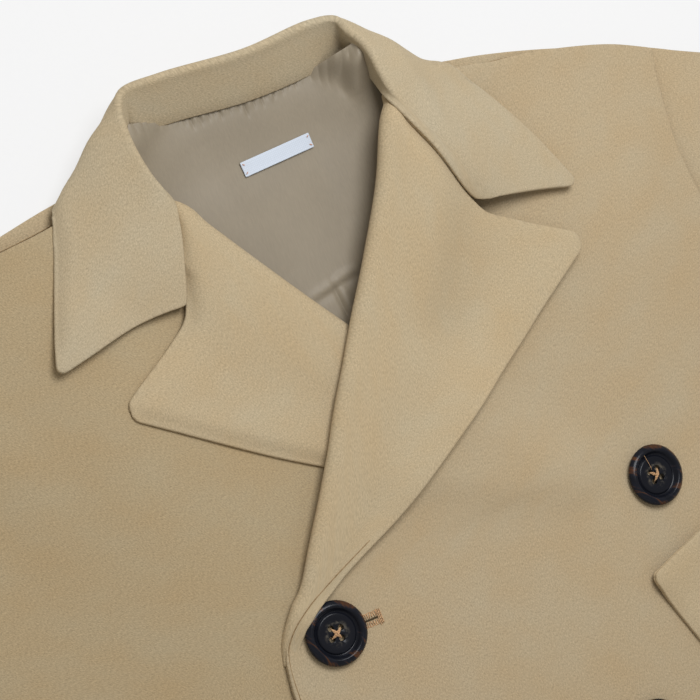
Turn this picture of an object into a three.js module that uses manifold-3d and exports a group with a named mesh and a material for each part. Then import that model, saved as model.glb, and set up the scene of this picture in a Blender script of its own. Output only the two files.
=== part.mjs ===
import * as THREE from 'three';
import Module from 'manifold-3d';

const wasm = await Module();
wasm.setup();

// A double-breasted pea coat that lies flat on its back with its collar open.
// Millimetres. The centre front is x = 0, x grows to the viewer's right,
// y grows towards the collar and z grows upwards from the surface.
// Every outline below is the real cut edge as it lies, seen from above.

// Walls
const BACK_WALL = 3;
const SLEEVE_WALL = 3;
const FRONT_WALL = 3.6;
const LAPEL_WALL = 3.6;
const COLLAR_WALL = 3.6;
const WELT_WALL = 3.6;
const LINING_WALL = 1.2;
const LABEL_WALL = 0.6;

// Room between pieces
const SEAM_GAP = 0.35;
const LAYER_GAP = 0.45;
const TURN_GAP = 1.1;

// Plan sizes
const HEM_Y = -625;
const HEM_HALF = 288;
const OVERLAP = 96;
const BREAK_Y = -124;
const LEFT_SEAM_DROP = 3.5;

// Roll of the lapels
const ROLL_INSET = 6.5;
const TURN_DEPTH_NECK = 7.6;
const TURN_DEPTH_BREAK = 4.4;
const ROLL_SPREAD_NECK = 75;
const ROLL_SPREAD_BREAK = 34;
const LAPEL_END = 0.87;

// Pockets
const WELT_WIDTH = 45;
const WELT_LENGTH = 175;
const WELT_CORNER = { x: 100.6, y: -165.7 };
const WELT_SLANT = THREE.MathUtils.degToRad(17.5);

// Label inside the neck
const LABEL_WIDTH = 40;
const LABEL_HEIGHT = 7.5;
const LABEL_PLACE = { x: -0.4, y: 103 };
const LABEL_TURN = THREE.MathUtils.degToRad(3.5);

// Buttons
const BUTTON_RADIUS = 16;
const BUTTON_HOLE_RADIUS = 1.2;
const BUTTON_HOLE_REACH = 3.2;
const BUTTON_SIDES = 24;
const BUTTON_PLACES = [
  { x: -68.8, y: -123.3 },
  { x: 126.2, y: -120.5 },
  { x: -70, y: -238 },
  { x: 70, y: -238 },
  { x: -70, y: -353 },
  { x: 70, y: -353 },
];

// Half a button's section, from the middle of its top round to the middle of its underside
const BUTTON_SECTION = [
  { r: 0, z: 2.9 },
  { r: 7.8, z: 2.9 },
  { r: 8.6, z: 4.2 },
  { r: 10, z: 4.2 },
  { r: 11.2, z: 5 },
  { r: 14.4, z: 4.7 },
  { r: 16, z: 3 },
  { r: 15, z: 0.9 },
  { r: 11, z: 0 },
  { r: 0, z: 0 },
];

// Side of the body, from the shoulder point down the armhole to the armpit
const ARMHOLE = [
  { x: 226, y: 88 },
  { x: 221.8, y: 73 },
  { x: 218, y: 52.4 },
  { x: 216, y: 35 },
  { x: 217.2, y: 14 },
  { x: 222, y: -25 },
  { x: 233, y: -70 },
  { x: 264, y: -130 },
];

const SIDE_SEAM = [
  { x: 264, y: -130 },
  { x: 270, y: -280 },
  { x: 278, y: -450 },
  { x: HEM_HALF, y: HEM_Y },
];

// Top edge of the laid back, from the middle of the neck to the shoulder point
const BACK_TOP = [
  { x: 0, y: 131 },
  { x: 30, y: 131.5 },
  { x: 58, y: 130 },
  { x: 104.6, y: 119.5 },
  { x: 158.7, y: 109.3 },
  { x: 200, y: 99 },
  { x: 226, y: 88 },
];

// Neck and shoulder edge of a front, from its roll to the shoulder point
const FRONT_TOP = [
  { x: 57, y: 106 },
  { x: 76, y: 113 },
  { x: 110.9, y: 112 },
  { x: 149.7, y: 108.3 },
  { x: 200, y: 98 },
  { x: 226, y: 88 },
];

// Outer edge of a sleeve, from the shoulder point to the cuff, and its cuff
const SLEEVE_OUTER = [
  { x: 226, y: 88 },
  { x: 254.7, y: 76 },
  { x: 300, y: 58 },
  { x: 350, y: 30 },
  { x: 395, y: -10 },
  { x: 520, y: -188 },
  { x: 650, y: -374 },
];
const CUFF_INNER = { x: 527, y: -460 };

// Roll edges, from the neck to where the overlap begins: z is the height of the fold
const LEFT_FRONT_ROLL = [
  { x: 51, y: 102.5, z: 37 },
  { x: 46.5, y: 93, z: 36.5 },
  { x: 36.7, y: 71.8, z: 33 },
  { x: 14.9, y: 36.3, z: 27 },
  { x: -2.3, y: 11.4, z: 24 },
  { x: -25.1, y: -21.9, z: 22 },
  { x: -64.5, y: -80, z: 18 },
  { x: -84.5, y: -104, z: 15 },
  { x: -96, y: BREAK_Y, z: 13 },
];

const RIGHT_FRONT_ROLL = [
  { x: -59.5, y: 96.5, z: 24 },
  { x: -52, y: 85.5, z: 23 },
  { x: -39.6, y: 66.5, z: 21 },
  { x: -15.5, y: 31.7, z: 18 },
  { x: 0, y: 11, z: 15 },
  { x: 30, y: -32, z: 13 },
  { x: 64.5, y: -80, z: 11 },
  { x: 84.5, y: -104, z: 10 },
  { x: 96, y: BREAK_Y, z: 10 },
];

// Lapel outlines beyond the roll: the gorge seam and top edge, then the long outer edge
const LEFT_LAPEL_TOP = [
  { x: 53.5, y: 106 },
  { x: 68.6, y: 78.6 },
  { x: 84.8, y: 45 },
  { x: 102.2, y: 31.4 },
  { x: 130, y: 14 },
  { x: 138.5, y: 6.5 },
];
const LEFT_LAPEL_EDGE = [
  { x: 138.5, y: 6.5 },
  { x: 128.5, y: -1.8 },
  { x: 79.1, y: -32.1 },
  { x: 28.2, y: -60.4 },
  { x: -20, y: -86 },
  { x: -55, y: -99 },
  { x: -72, y: -104.5 },
];
const RIGHT_LAPEL_TOP = [
  { x: -64.3, y: 103.3 },
  { x: -66, y: 82 },
  { x: -75.5, y: 48 },
  { x: -91.1, y: 33.8 },
  { x: -113, y: 21.9 },
  { x: -120.8, y: 13 },
];
const RIGHT_LAPEL_EDGE = [
  { x: -120.8, y: 13 },
  { x: -116.6, y: 3.7 },
  { x: -82.4, y: -19.6 },
  { x: -40.7, y: -47.5 },
  { x: 2, y: -75 },
  { x: 41, y: -94.5 },
  { x: 72, y: -106 },
];

// Collar sections from the viewer's left point, round the neck, to the right point.
// neck is the seam, fold the roll, outer the fall of the leaf, heel and edge its far part.
const COLLAR_SECTIONS = [
  {
    neck: [-75, 51.5, 15], fold: [-84, 51, 15], outer: [-108, 49.7, 15],
    heel: [-127, 45, 15], edge: [-144, 41, 15],
  },
  {
    neck: [-65.5, 94, 20], fold: [-67.5, 99, 24], outer: [-90, 99, 21],
    heel: [-112, 93, 17], edge: [-130, 86, 15],
  },
  {
    neck: [-65, 117, 15], fold: [-70, 119.5, 26], outer: [-92, 118, 21],
    heel: [-108, 111, 16], edge: [-121, 102, 13],
  },
  {
    neck: [-65.5, 131, 11], fold: [-72, 134.5, 28], outer: [-91, 132, 20],
    heel: [-104, 126.5, 11], edge: [-111, 119.5, 5],
  },
  {
    neck: [-62, 138.5, 9.5], fold: [-70, 148, 30], outer: [-80, 146, 17],
    heel: [-87, 138, 4], edge: [-88, 124, 2],
  },
  {
    neck: [-8, 134, 9.5], fold: [-8, 151.5, 32], outer: [-8, 158, 13],
    heel: [-8, 149, 2.4], edge: [-8, 107, 1.9],
  },
  {
    neck: [52, 138.5, 10.5], fold: [46, 150, 33], outer: [59, 148, 18],
    heel: [70, 140, 4], edge: [72, 126, 2],
  },
  {
    neck: [57, 131, 14], fold: [51, 137, 35], outer: [74, 135, 24],
    heel: [89, 130, 13], edge: [98, 124, 6],
  },
  {
    neck: [55, 119, 22], fold: [54.5, 121.5, 37], outer: [78, 120, 29],
    heel: [95, 116, 21], edge: [107, 110, 15],
  },
  {
    neck: [58.5, 103, 31], fold: [58.5, 109, 37], outer: [80, 106, 30],
    heel: [103, 99, 22], edge: [119, 92, 17],
  },
  {
    neck: [85.5, 46, 20], fold: [93, 43, 20], outer: [110.5, 41, 19],
    heel: [128, 37.5, 18], edge: [144, 34.5, 18],
  },
];
const COLLAR_ROWS = [3, 4, 3, 3];
const COLLAR_COLUMNS = [5, 3, 3, 3, 5, 5, 3, 3, 3, 5];
const LEAF_SPANS = 4;
const LYING_SPANS = 2;

// Colours read from the cloth, the lining and the buttons
const MATERIALS = {
  wool: new THREE.MeshStandardMaterial({ color: 0xbba886, roughness: 0.95, metalness: 0 }),
  lining: new THREE.MeshStandardMaterial({ color: 0x9b907d, roughness: 0.45, metalness: 0 }),
  label: new THREE.MeshStandardMaterial({ color: 0xd6dee8, roughness: 0.6, metalness: 0 }),
  button: new THREE.MeshStandardMaterial({ color: 0x2d2d37, roughness: 0.25, metalness: 0 }),
};

const coat = new THREE.Group();
const laid = {};

// Curves: each takes 0 to 1 and gives a point

function lineThrough(rows) {
  const points = rows.map(({ x, y, z = 0 }) => new THREE.Vector3(x, y, z));
  const curve = new THREE.CatmullRomCurve3(points, false, 'centripetal');
  return (t) => curve.getPointAt(THREE.MathUtils.clamp(t, 0, 1));
}

function mirrored(rows) {
  return rows.map((row) => ({ ...row, x: -row.x }));
}

// Two curves end to end, the first taking the given share of the way
function chain(first, second, share) {
  return (t) => (t < share ? first(t / share) : second((t - share) / (1 - share)));
}

function reversed(curve) {
  return (t) => curve(1 - t);
}

// A surface between four edges: near and far run along u, start and end join them along v
function patch(near, far, start, end) {
  const corners = [near(0), near(1), far(0), far(1)];
  return (u, v) => {
    const point = new THREE.Vector3();
    point.addScaledVector(near(u), 1 - v).addScaledVector(far(u), v);
    point.addScaledVector(start(v), 1 - u).addScaledVector(end(v), u);
    point.addScaledVector(corners[0], -(1 - u) * (1 - v));
    point.addScaledVector(corners[1], -u * (1 - v));
    point.addScaledVector(corners[2], -(1 - u) * v);
    point.addScaledVector(corners[3], -u * v);
    return point;
  };
}

function sampled(surface, columns, rows, spacing = (v) => v) {
  const grid = [];
  for (let i = 0; i <= columns; i += 1) {
    const line = [];
    for (let j = 0; j <= rows; j += 1) {
      line.push(surface(i / columns, spacing(j / rows)));
    }
    grid.push(line);
  }
  return grid;
}

// Keeps a piece clear of its neighbour at a seam by drawing its plan in towards its middle
function drawnIn(grid, amount) {
  const last = grid.length - 1;
  const end = grid[0].length - 1;
  const shifts = grid.map((line, i) => line.map((point, j) => {
    const shift = new THREE.Vector3();
    if (i === 0) shift.add(step(point, grid[1][j]));
    if (i === last) shift.add(step(point, grid[last - 1][j]));
    if (j === 0) shift.add(step(point, line[1]));
    if (j === end) shift.add(step(point, line[end - 1]));
    return shift.multiplyScalar(amount);
  }));
  grid.forEach((line, i) => line.forEach((point, j) => point.add(shifts[i][j])));
  return grid;
}

function step(from, to) {
  return to.clone().sub(from).setZ(0).normalize();
}

// Heights: the top of a laid piece, kept at the middles of small square cells

const CELL = 3;

function eachCell(a, b, c, visit) {
  const area = (b.x - a.x) * (c.y - a.y) - (c.x - a.x) * (b.y - a.y);
  if (Math.abs(area) < 1e-6) return;
  const slack = -1e-3;
  const lowX = Math.ceil(Math.min(a.x, b.x, c.x) / CELL);
  const highX = Math.floor(Math.max(a.x, b.x, c.x) / CELL);
  const lowY = Math.ceil(Math.min(a.y, b.y, c.y) / CELL);
  const highY = Math.floor(Math.max(a.y, b.y, c.y) / CELL);
  for (let ix = lowX; ix <= highX; ix += 1) {
    for (let iy = lowY; iy <= highY; iy += 1) {
      const x = ix * CELL;
      const y = iy * CELL;
      const wb = ((x - a.x) * (c.y - a.y) - (c.x - a.x) * (y - a.y)) / area;
      const wc = ((b.x - a.x) * (y - a.y) - (x - a.x) * (b.y - a.y)) / area;
      const wa = 1 - wb - wc;
      if (wa < slack || wb < slack || wc < slack) continue;
      visit(`${ix},${iy}`, wa * a.z + wb * b.z + wc * c.z);
    }
  }
}

function topOf(geometry) {
  const heights = new Map();
  const at = geometry.getAttribute('position');
  const index = geometry.getIndex();
  const corner = (k) => new THREE.Vector3().fromBufferAttribute(at, index.getX(k));
  for (let k = 0; k < index.count; k += 3) {
    eachCell(corner(k), corner(k + 1), corner(k + 2), (cell, z) => {
      if (z > (heights.get(cell) ?? -Infinity)) heights.set(cell, z);
    });
  }
  return heights;
}

function heightUnder(names, x, y, reach = CELL) {
  const span = Math.ceil(reach / CELL);
  let height = 0;
  for (let ix = -span; ix <= span; ix += 1) {
    for (let iy = -span; iy <= span; iy += 1) {
      const cell = `${Math.round(x / CELL) + ix},${Math.round(y / CELL) + iy}`;
      for (const name of names) {
        height = Math.max(height, laid[name].get(cell) ?? 0);
      }
    }
  }
  return height;
}

function normalAt(grid, i, j) {
  const columns = grid.length - 1;
  const rows = grid[0].length - 1;
  const along = grid[Math.min(i + 1, columns)][j].clone().sub(grid[Math.max(i - 1, 0)][j]);
  const across = grid[i][Math.min(j + 1, rows)].clone().sub(grid[i][Math.max(j - 1, 0)]);
  return along.cross(across).normalize();
}

// Raises a sheet, where it must, until its underside clears what it lies on
function settle(grid, wall, names, moves = () => true) {
  const facing = Math.sign(normalAt(grid, grid.length >> 1, grid[0].length >> 1).z);
  const under = (i, j) => {
    const slope = Math.max(facing * normalAt(grid, i, j).z, 0.5);
    return grid[i][j].clone().setZ(grid[i][j].z - wall / 2 / slope);
  };
  const ROUNDS = 12;
  for (let round = 0; round < ROUNDS; round += 1) {
    const lifts = grid.map((line) => line.map(() => 0));
    const press = (corners) => {
      if (!corners.every(([i, j]) => moves(i, j))) return;
      const [a, b, c] = corners.map(([i, j]) => under(i, j));
      eachCell(a, b, c, (cell, z) => {
        for (const name of names) {
          const need = (laid[name].get(cell) ?? -Infinity) + LAYER_GAP - z;
          if (need <= 0) continue;
          for (const [i, j] of corners) lifts[i][j] = Math.max(lifts[i][j], need);
        }
      });
    };
    for (let i = 0; i < grid.length - 1; i += 1) {
      for (let j = 0; j < grid[0].length - 1; j += 1) {
        press([[i, j], [i + 1, j], [i + 1, j + 1]]);
        press([[i, j], [i + 1, j + 1], [i, j + 1]]);
      }
    }
    grid.forEach((line, i) => line.forEach((point, j) => { point.z += lifts[i][j]; }));
    if (lifts.every((line) => line.every((lift) => lift < 0.02))) break;
  }
  return grid;
}

function laidOn(grid, wall, names) {
  grid.forEach((line) => line.forEach((point) => {
    point.z = wall / 2;
  }));
  return settle(grid, wall, names);
}

// A closed wall round a grid of middle points, with a rounded rim on the outline itself
function wallGeometry(grid, wall) {
  const columns = grid.length;
  const rows = grid[0].length;
  const facing = Math.sign(normalAt(grid, columns >> 1, rows >> 1).z) || 1;
  const vertices = [];
  const add = (point) => vertices.push(point.x, point.y, point.z) / 3 - 1;
  const upper = [];
  const lower = [];
  const rim = new Map();
  for (let i = 0; i < columns; i += 1) {
    upper.push([]);
    lower.push([]);
    for (let j = 0; j < rows; j += 1) {
      const point = grid[i][j];
      const normal = normalAt(grid, i, j).multiplyScalar(facing);
      const inset = new THREE.Vector3();
      if (i === 0) inset.add(grid[1][j].clone().sub(point).normalize());
      if (i === columns - 1) inset.add(grid[i - 1][j].clone().sub(point).normalize());
      if (j === 0) inset.add(grid[i][1].clone().sub(point).normalize());
      if (j === rows - 1) inset.add(grid[i][j - 1].clone().sub(point).normalize());
      const body = point.clone().addScaledVector(inset, wall / 2);
      upper[i].push(add(body.clone().addScaledVector(normal, wall / 2)));
      lower[i].push(add(body.clone().addScaledVector(normal, -wall / 2)));
      if (inset.lengthSq() > 0) rim.set(`${i},${j}`, add(point));
    }
  }
  const faces = [];
  const quad = (a, b, c, d) => faces.push(a, b, c, a, c, d);
  for (let i = 0; i < columns - 1; i += 1) {
    for (let j = 0; j < rows - 1; j += 1) {
      quad(upper[i][j], upper[i + 1][j], upper[i + 1][j + 1], upper[i][j + 1]);
      quad(lower[i][j], lower[i][j + 1], lower[i + 1][j + 1], lower[i + 1][j]);
    }
  }
  const ring = [];
  for (let i = 0; i < columns; i += 1) ring.push([i, 0]);
  for (let j = 1; j < rows; j += 1) ring.push([columns - 1, j]);
  for (let i = columns - 2; i >= 0; i -= 1) ring.push([i, rows - 1]);
  for (let j = rows - 2; j > 0; j -= 1) ring.push([0, j]);
  ring.forEach(([i, j], k) => {
    const [ni, nj] = ring[(k + 1) % ring.length];
    const here = rim.get(`${i},${j}`);
    const next = rim.get(`${ni},${nj}`);
    quad(upper[i][j], here, next, upper[ni][nj]);
    quad(here, lower[i][j], lower[ni][nj], next);
  });
  if (facing < 0) {
    for (let k = 0; k < faces.length; k += 3) {
      [faces[k + 1], faces[k + 2]] = [faces[k + 2], faces[k + 1]];
    }
  }
  const geometry = new THREE.BufferGeometry();
  geometry.setAttribute('position', new THREE.Float32BufferAttribute(vertices, 3));
  geometry.setIndex(faces);
  return geometry;
}

function addPiece(name, geometry, material) {
  laid[name] = topOf(geometry);
  geometry.computeVertexNormals();
  const mesh = new THREE.Mesh(geometry, material);
  mesh.name = name;
  coat.add(mesh);
  return mesh;
}

// Body outlines for one side: hand is 1 for the viewer's right and -1 for the left

function sided(rows, hand) {
  return hand > 0 ? rows : mirrored(rows);
}

// Shares of a body panel's height taken by its armhole, or by its roll, and its grid
const ARM_SHARE = 0.4;
const BODY_STEPS = 25;
const ARM_STEPS = BODY_STEPS * ARM_SHARE;
const BACK_COLUMNS = 18;
const FRONT_ROWS = 13;
const SLEEVE_STEPS = 12;
const LAPEL_STEPS = 20;
const LAPEL_ROWS = 8;

function bodySide(hand) {
  return chain(lineThrough(sided(ARMHOLE, hand)), lineThrough(sided(SIDE_SEAM, hand)), ARM_SHARE);
}

// The collar's middle surface, as lines across it from one point to the other
function collarSurface() {
  const places = ['neck', 'fold', 'outer', 'heel', 'edge'];
  const sections = COLLAR_SECTIONS.map((section) => {
    const points = places.map((place) => new THREE.Vector3(...section[place]));
    const curve = new THREE.CatmullRomCurve3(points, false, 'centripetal');
    const line = [];
    COLLAR_ROWS.forEach((count, span) => {
      for (let k = 0; k < count; k += 1) line.push(curve.getPoint((span + k / count) / 4));
    });
    line.push(points[points.length - 1]);
    return line;
  });
  const runs = sections[0].map((_, row) => {
    const points = sections.map((line) => line[row]);
    return new THREE.CatmullRomCurve3(points, false, 'centripetal');
  });
  const grid = [];
  const spans = COLLAR_COLUMNS.length;
  COLLAR_COLUMNS.forEach((count, span) => {
    for (let k = 0; k < count; k += 1) {
      grid.push(runs.map((run) => run.getPoint((span + k / count) / spans)));
    }
  });
  grid.push(runs.map((run) => run.getPoint(1)));
  grid.forEach((line) => line.forEach((point) => {
    point.z = Math.max(point.z, COLLAR_WALL / 2);
  }));
  return grid;
}

// The flat part of the leaf that the back lies on
function collarBack(grid) {
  const skipped = COLLAR_COLUMNS.slice(0, LEAF_SPANS).reduce((sum, count) => sum + count, 0);
  const flatRow = COLLAR_ROWS.slice(0, 3).reduce((sum, count) => sum + count, -1);
  return grid.slice(skipped - 1, grid.length - skipped + 1)
    .map((line) => line.slice(flatRow).map((point) => point.clone()));
}

// The collar's leaves lie on the fronts, so its front parts are settled on them later
const collarGrid = collarSurface();
laid.collarBehind = topOf(wallGeometry(collarBack(collarGrid), COLLAR_WALL));

function addBack() {
  const rightTop = lineThrough(BACK_TOP);
  const leftTop = lineThrough(mirrored(BACK_TOP));
  const top = chain(reversed(leftTop), rightTop, 0.5);
  const hem = lineThrough([{ x: -HEM_HALF, y: HEM_Y }, { x: 0, y: HEM_Y }, { x: HEM_HALF, y: HEM_Y }]);
  const surface = patch(top, hem, bodySide(-1), bodySide(1));
  const grid = drawnIn(sampled(surface, BACK_COLUMNS, BODY_STEPS), SEAM_GAP / 2);
  addPiece('back', wallGeometry(laidOn(grid, BACK_WALL, ['collarBehind']), BACK_WALL), MATERIALS.wool);
}

function addSleeve(hand, layer, names) {
  const cap = lineThrough(sided(ARMHOLE, hand));
  const cuff = sided([SLEEVE_OUTER[SLEEVE_OUTER.length - 1], CUFF_INNER], hand);
  const outer = lineThrough(sided(SLEEVE_OUTER, hand));
  const inner = lineThrough(sided([ARMHOLE[ARMHOLE.length - 1], CUFF_INNER], hand));
  const surface = patch(outer, inner, cap, lineThrough(cuff));
  const grid = drawnIn(sampled(surface, SLEEVE_STEPS, ARM_STEPS), SEAM_GAP);
  const name = `${layer}_sleeve_${hand > 0 ? 'left' : 'right'}`;
  addPiece(name, wallGeometry(laidOn(grid, SLEEVE_WALL, names), SLEEVE_WALL), MATERIALS.wool);
  return name;
}

function addLining() {
  const top = lineThrough([{ x: -56, y: 130 }, { x: 0, y: 127 }, { x: 52, y: 131 }]);
  const left = lineThrough([{ x: -56, y: 130 }, { x: -54, y: 100 }, { x: -40, y: 40 }, { x: -20, y: 0 }]);
  const right = lineThrough([{ x: 52, y: 131 }, { x: 60, y: 100 }, { x: 50, y: 40 }, { x: 20, y: 0 }]);
  const foot = lineThrough([{ x: -20, y: 0 }, { x: 0, y: -1 }, { x: 20, y: 0 }]);
  const grid = sampled(patch(top, foot, left, right), 8, 10);
  addPiece('lining_back', wallGeometry(laidOn(grid, LINING_WALL, ['back']), LINING_WALL), MATERIALS.lining);
}

// How far inwards the fold still lifts its front
function rollSpread(t) {
  return THREE.MathUtils.lerp(ROLL_SPREAD_NECK, ROLL_SPREAD_BREAK, t);
}

// Moves a roll edge inwards over its front, less and less past the lapel's end
function insetRoll(roll, hand) {
  return (t) => {
    const near = roll(Math.max(t - 0.01, 0));
    const far = roll(Math.min(t + 0.01, 1));
    const along = far.sub(near).setZ(0).normalize();
    const inwards = new THREE.Vector3(-along.y, along.x, 0).multiplyScalar(hand);
    const fade = 1 - THREE.MathUtils.smoothstep(t, LAPEL_END, 1);
    return roll(t).addScaledVector(inwards, ROLL_INSET * fade);
  };
}

// Room under a lapel's fold for the cloth's turn: wide at the neck, tight at the overlap
function turnDepth(t) {
  return THREE.MathUtils.lerp(TURN_DEPTH_NECK, TURN_DEPTH_BREAK, t);
}

function addFront(hand, name, shape) {
  const names = shape.liesOn;
  const roll = lineThrough(shape.roll);
  const rollEdge = insetRoll(roll, hand);
  const breakPoint = rollEdge(1);
  const edge = lineThrough([
    breakPoint,
    { x: -hand * (OVERLAP + 3.5), y: BREAK_Y - 22 },
    { x: -hand * (OVERLAP + 2), y: BREAK_Y - 90 },
    { x: -hand * OVERLAP, y: -400 },
    { x: -hand * OVERLAP, y: HEM_Y },
  ]);
  const near = chain(rollEdge, edge, ARM_SHARE);
  const drop = hand > 0 ? 0 : LEFT_SEAM_DROP;
  const shoulder = sided(FRONT_TOP.slice(1, -1), hand).map((row) => ({ ...row, y: row.y - drop }));
  const top = lineThrough([rollEdge(0), ...shoulder, sided(FRONT_TOP, hand).at(-1)]);
  const hem = lineThrough([{ x: -hand * OVERLAP, y: HEM_Y }, { x: hand * HEM_HALF, y: HEM_Y }]);
  const flat = (curve) => (t) => curve(t).setZ(0);
  const surface = patch(flat(near), flat(bodySide(hand)), flat(top), flat(hem));
  const columns = BODY_STEPS;
  const grid = drawnIn(sampled(surface, columns, FRONT_ROWS, (v) => v ** 1.35), SEAM_GAP / 2);
  grid.forEach((line, i) => {
    const t = Math.min(i / columns / ARM_SHARE, 1);
    const fade = 1 - THREE.MathUtils.smoothstep(i / columns, ARM_SHARE * 0.9, ARM_SHARE * 1.25);
    const foldUnder = roll(t).z - LAPEL_WALL / 2 - turnDepth(t);
    line.forEach((point) => {
      const away = point.distanceTo(line[0].clone().setZ(point.z));
      const lift = 1 - THREE.MathUtils.smoothstep(away, 0, rollSpread(t));
      const base = heightUnder(names, point.x, point.y) + FRONT_WALL / 2;
      point.z = THREE.MathUtils.lerp(base, Math.max(base, foldUnder), lift * fade);
    });
  });
  settle(grid, FRONT_WALL, names);
  addPiece(name, wallGeometry(grid, FRONT_WALL), MATERIALS.wool);
  return grid.map((line) => line[0].clone());
}

// A lapel: its fold turns down to the front's edge, and its far part lies on the front
function addLapel(hand, name, shape, frontEdge, names) {
  const roll = lineThrough(shape.roll);
  const near = insetRoll(roll, hand);
  const start = near(0);
  const end = near(LAPEL_END);
  const flat = (curve) => (t) => curve(t).setZ(0);
  const shortRoll = (t) => near(t * LAPEL_END);
  const top = lineThrough([start, ...shape.lapelTop.slice(1)]);
  const far = lineThrough(shape.lapelEdge);
  const tail = lineThrough([{ x: end.x, y: end.y }, shape.lapelEdge.at(-1)]);
  const surface = patch(flat(shortRoll), flat(far), flat(top), flat(tail));
  const columns = LAPEL_STEPS;
  const rows = LAPEL_ROWS;
  const grid = drawnIn(sampled(surface, columns, rows), SEAM_GAP);
  grid.forEach((line, i) => {
    const t = (i / columns) * LAPEL_END;
    const crest = roll(t).z - LAPEL_WALL / 2;
    line.forEach((point, j) => {
      const base = heightUnder(names, point.x, point.y) + LAPEL_WALL / 2;
      const fall = THREE.MathUtils.smoothstep(j / rows, 0, 0.85);
      point.z = Math.max(base, THREE.MathUtils.lerp(Math.max(crest, base), base, fall));
    });
  });
  settle(grid, LAPEL_WALL, names);
  const withTurn = grid.map((line, i) => {
    const t = (i / columns) * LAPEL_END;
    const outwards = roll(t).sub(near(t)).setZ(0).normalize();
    const index = t * ARM_STEPS;
    const low = Math.floor(index);
    const high = Math.min(low + 1, frontEdge.length - 1);
    const partner = frontEdge[low].clone().lerp(frontEdge[high], index - low);
    const drop = Math.max((line[0].z - partner.z) / 2, LAPEL_WALL / 2 + 0.3);
    const centre = line[0].clone().setZ(line[0].z - drop);
    const bulge = Math.min(drop, ROLL_INSET - LAPEL_WALL / 2);
    const firstAngle = 180 - 24 * (1 - t);
    return [firstAngle, 120, 60].map((degrees) => {
      const angle = THREE.MathUtils.degToRad(degrees);
      const point = centre.clone().addScaledVector(outwards, Math.sin(angle) * bulge + TURN_GAP);
      return point.setZ(centre.z + Math.cos(angle) * drop);
    }).concat(line);
  });
  addPiece(name, wallGeometry(withTurn, LAPEL_WALL), MATERIALS.wool);
}

function settleCollar(names) {
  const leafStart = COLLAR_ROWS[0] + 2;
  const lying = COLLAR_COLUMNS.slice(0, LYING_SPANS).reduce((sum, count) => sum + count, 0);
  const last = collarGrid.length - 1;
  const onFront = (i, j) => {
    const fromEnd = Math.min(i, last - i);
    return fromEnd <= lying && (j >= leafStart || fromEnd < COLLAR_COLUMNS[0]);
  };
  settle(collarGrid, COLLAR_WALL, names, onFront);
  addPiece('collar', wallGeometry(collarGrid, COLLAR_WALL), MATERIALS.wool);
}

function addWelt(hand, name, front) {
  const long = new THREE.Vector3(hand * Math.sin(WELT_SLANT), -Math.cos(WELT_SLANT), 0);
  const wide = new THREE.Vector3(hand * Math.cos(WELT_SLANT), Math.sin(WELT_SLANT), 0);
  const corner = new THREE.Vector3(hand * WELT_CORNER.x, WELT_CORNER.y, 0);
  const surface = (u, v) => corner.clone()
    .addScaledVector(long, u * WELT_LENGTH)
    .addScaledVector(wide, v * WELT_WIDTH);
  const grid = laidOn(sampled(surface, 7, 3), WELT_WALL, [front]);
  addPiece(name, wallGeometry(grid, WELT_WALL), MATERIALS.wool);
}

function addLabel() {
  const place = new THREE.Vector3(LABEL_PLACE.x, LABEL_PLACE.y, 0);
  const wide = new THREE.Vector3(Math.cos(LABEL_TURN), Math.sin(LABEL_TURN), 0);
  const high = new THREE.Vector3(-Math.sin(LABEL_TURN), Math.cos(LABEL_TURN), 0);
  const surface = (u, v) => place.clone()
    .addScaledVector(wide, (u - 0.5) * LABEL_WIDTH)
    .addScaledVector(high, (v - 0.5) * LABEL_HEIGHT);
  const grid = laidOn(sampled(surface, 4, 2), LABEL_WALL, ['lining_back']);
  addPiece('neck_label', wallGeometry(grid, LABEL_WALL), MATERIALS.label);
}

function solidOf(geometry) {
  const at = geometry.getAttribute('position');
  const index = geometry.getIndex();
  const mesh = new wasm.Mesh({
    numProp: 3,
    vertProperties: new Float32Array(at.array),
    triVerts: new Uint32Array(index.array),
  });
  return new wasm.Manifold(mesh);
}

// A closed turned shape whose section starts and ends on its axis
function turnedShape(section, sides) {
  const vertices = [];
  const faces = [];
  const rings = section.map(({ r, z }) => {
    const first = vertices.length / 3;
    if (r === 0) {
      vertices.push(0, 0, z);
      return Array(sides).fill(first);
    }
    for (let k = 0; k < sides; k += 1) {
      const angle = (2 * Math.PI * k) / sides;
      vertices.push(r * Math.cos(angle), r * Math.sin(angle), z);
    }
    return Array.from({ length: sides }, (_, k) => first + k);
  });
  for (let ring = 0; ring < rings.length - 1; ring += 1) {
    for (let k = 0; k < sides; k += 1) {
      const next = (k + 1) % sides;
      const [a, b, c, d] = [rings[ring][k], rings[ring][next], rings[ring + 1][next], rings[ring + 1][k]];
      if (a !== b) faces.push(a, d, b);
      if (c !== d) faces.push(b, d, c);
    }
  }
  const geometry = new THREE.BufferGeometry();
  geometry.setAttribute('position', new THREE.Float32BufferAttribute(vertices, 3));
  geometry.setIndex(faces);
  return geometry;
}

function buttonGeometry() {
  let solid = solidOf(turnedShape(BUTTON_SECTION, BUTTON_SIDES));
  const bore = [
    { r: 0, z: 6 },
    { r: BUTTON_HOLE_RADIUS, z: 6 },
    { r: BUTTON_HOLE_RADIUS, z: -1 },
    { r: 0, z: -1 },
  ];
  for (let k = 0; k < 4; k += 1) {
    const angle = (Math.PI / 2) * k;
    const hole = turnedShape(bore, 6);
    hole.translate(Math.cos(angle) * BUTTON_HOLE_REACH, Math.sin(angle) * BUTTON_HOLE_REACH, 0);
    solid = solid.subtract(solidOf(hole));
  }
  const mesh = solid.getMesh();
  const geometry = new THREE.BufferGeometry();
  geometry.setAttribute('position', new THREE.Float32BufferAttribute(mesh.vertProperties, 3));
  geometry.setIndex(new THREE.Uint32BufferAttribute(mesh.triVerts, 1));
  return geometry;
}

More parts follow.
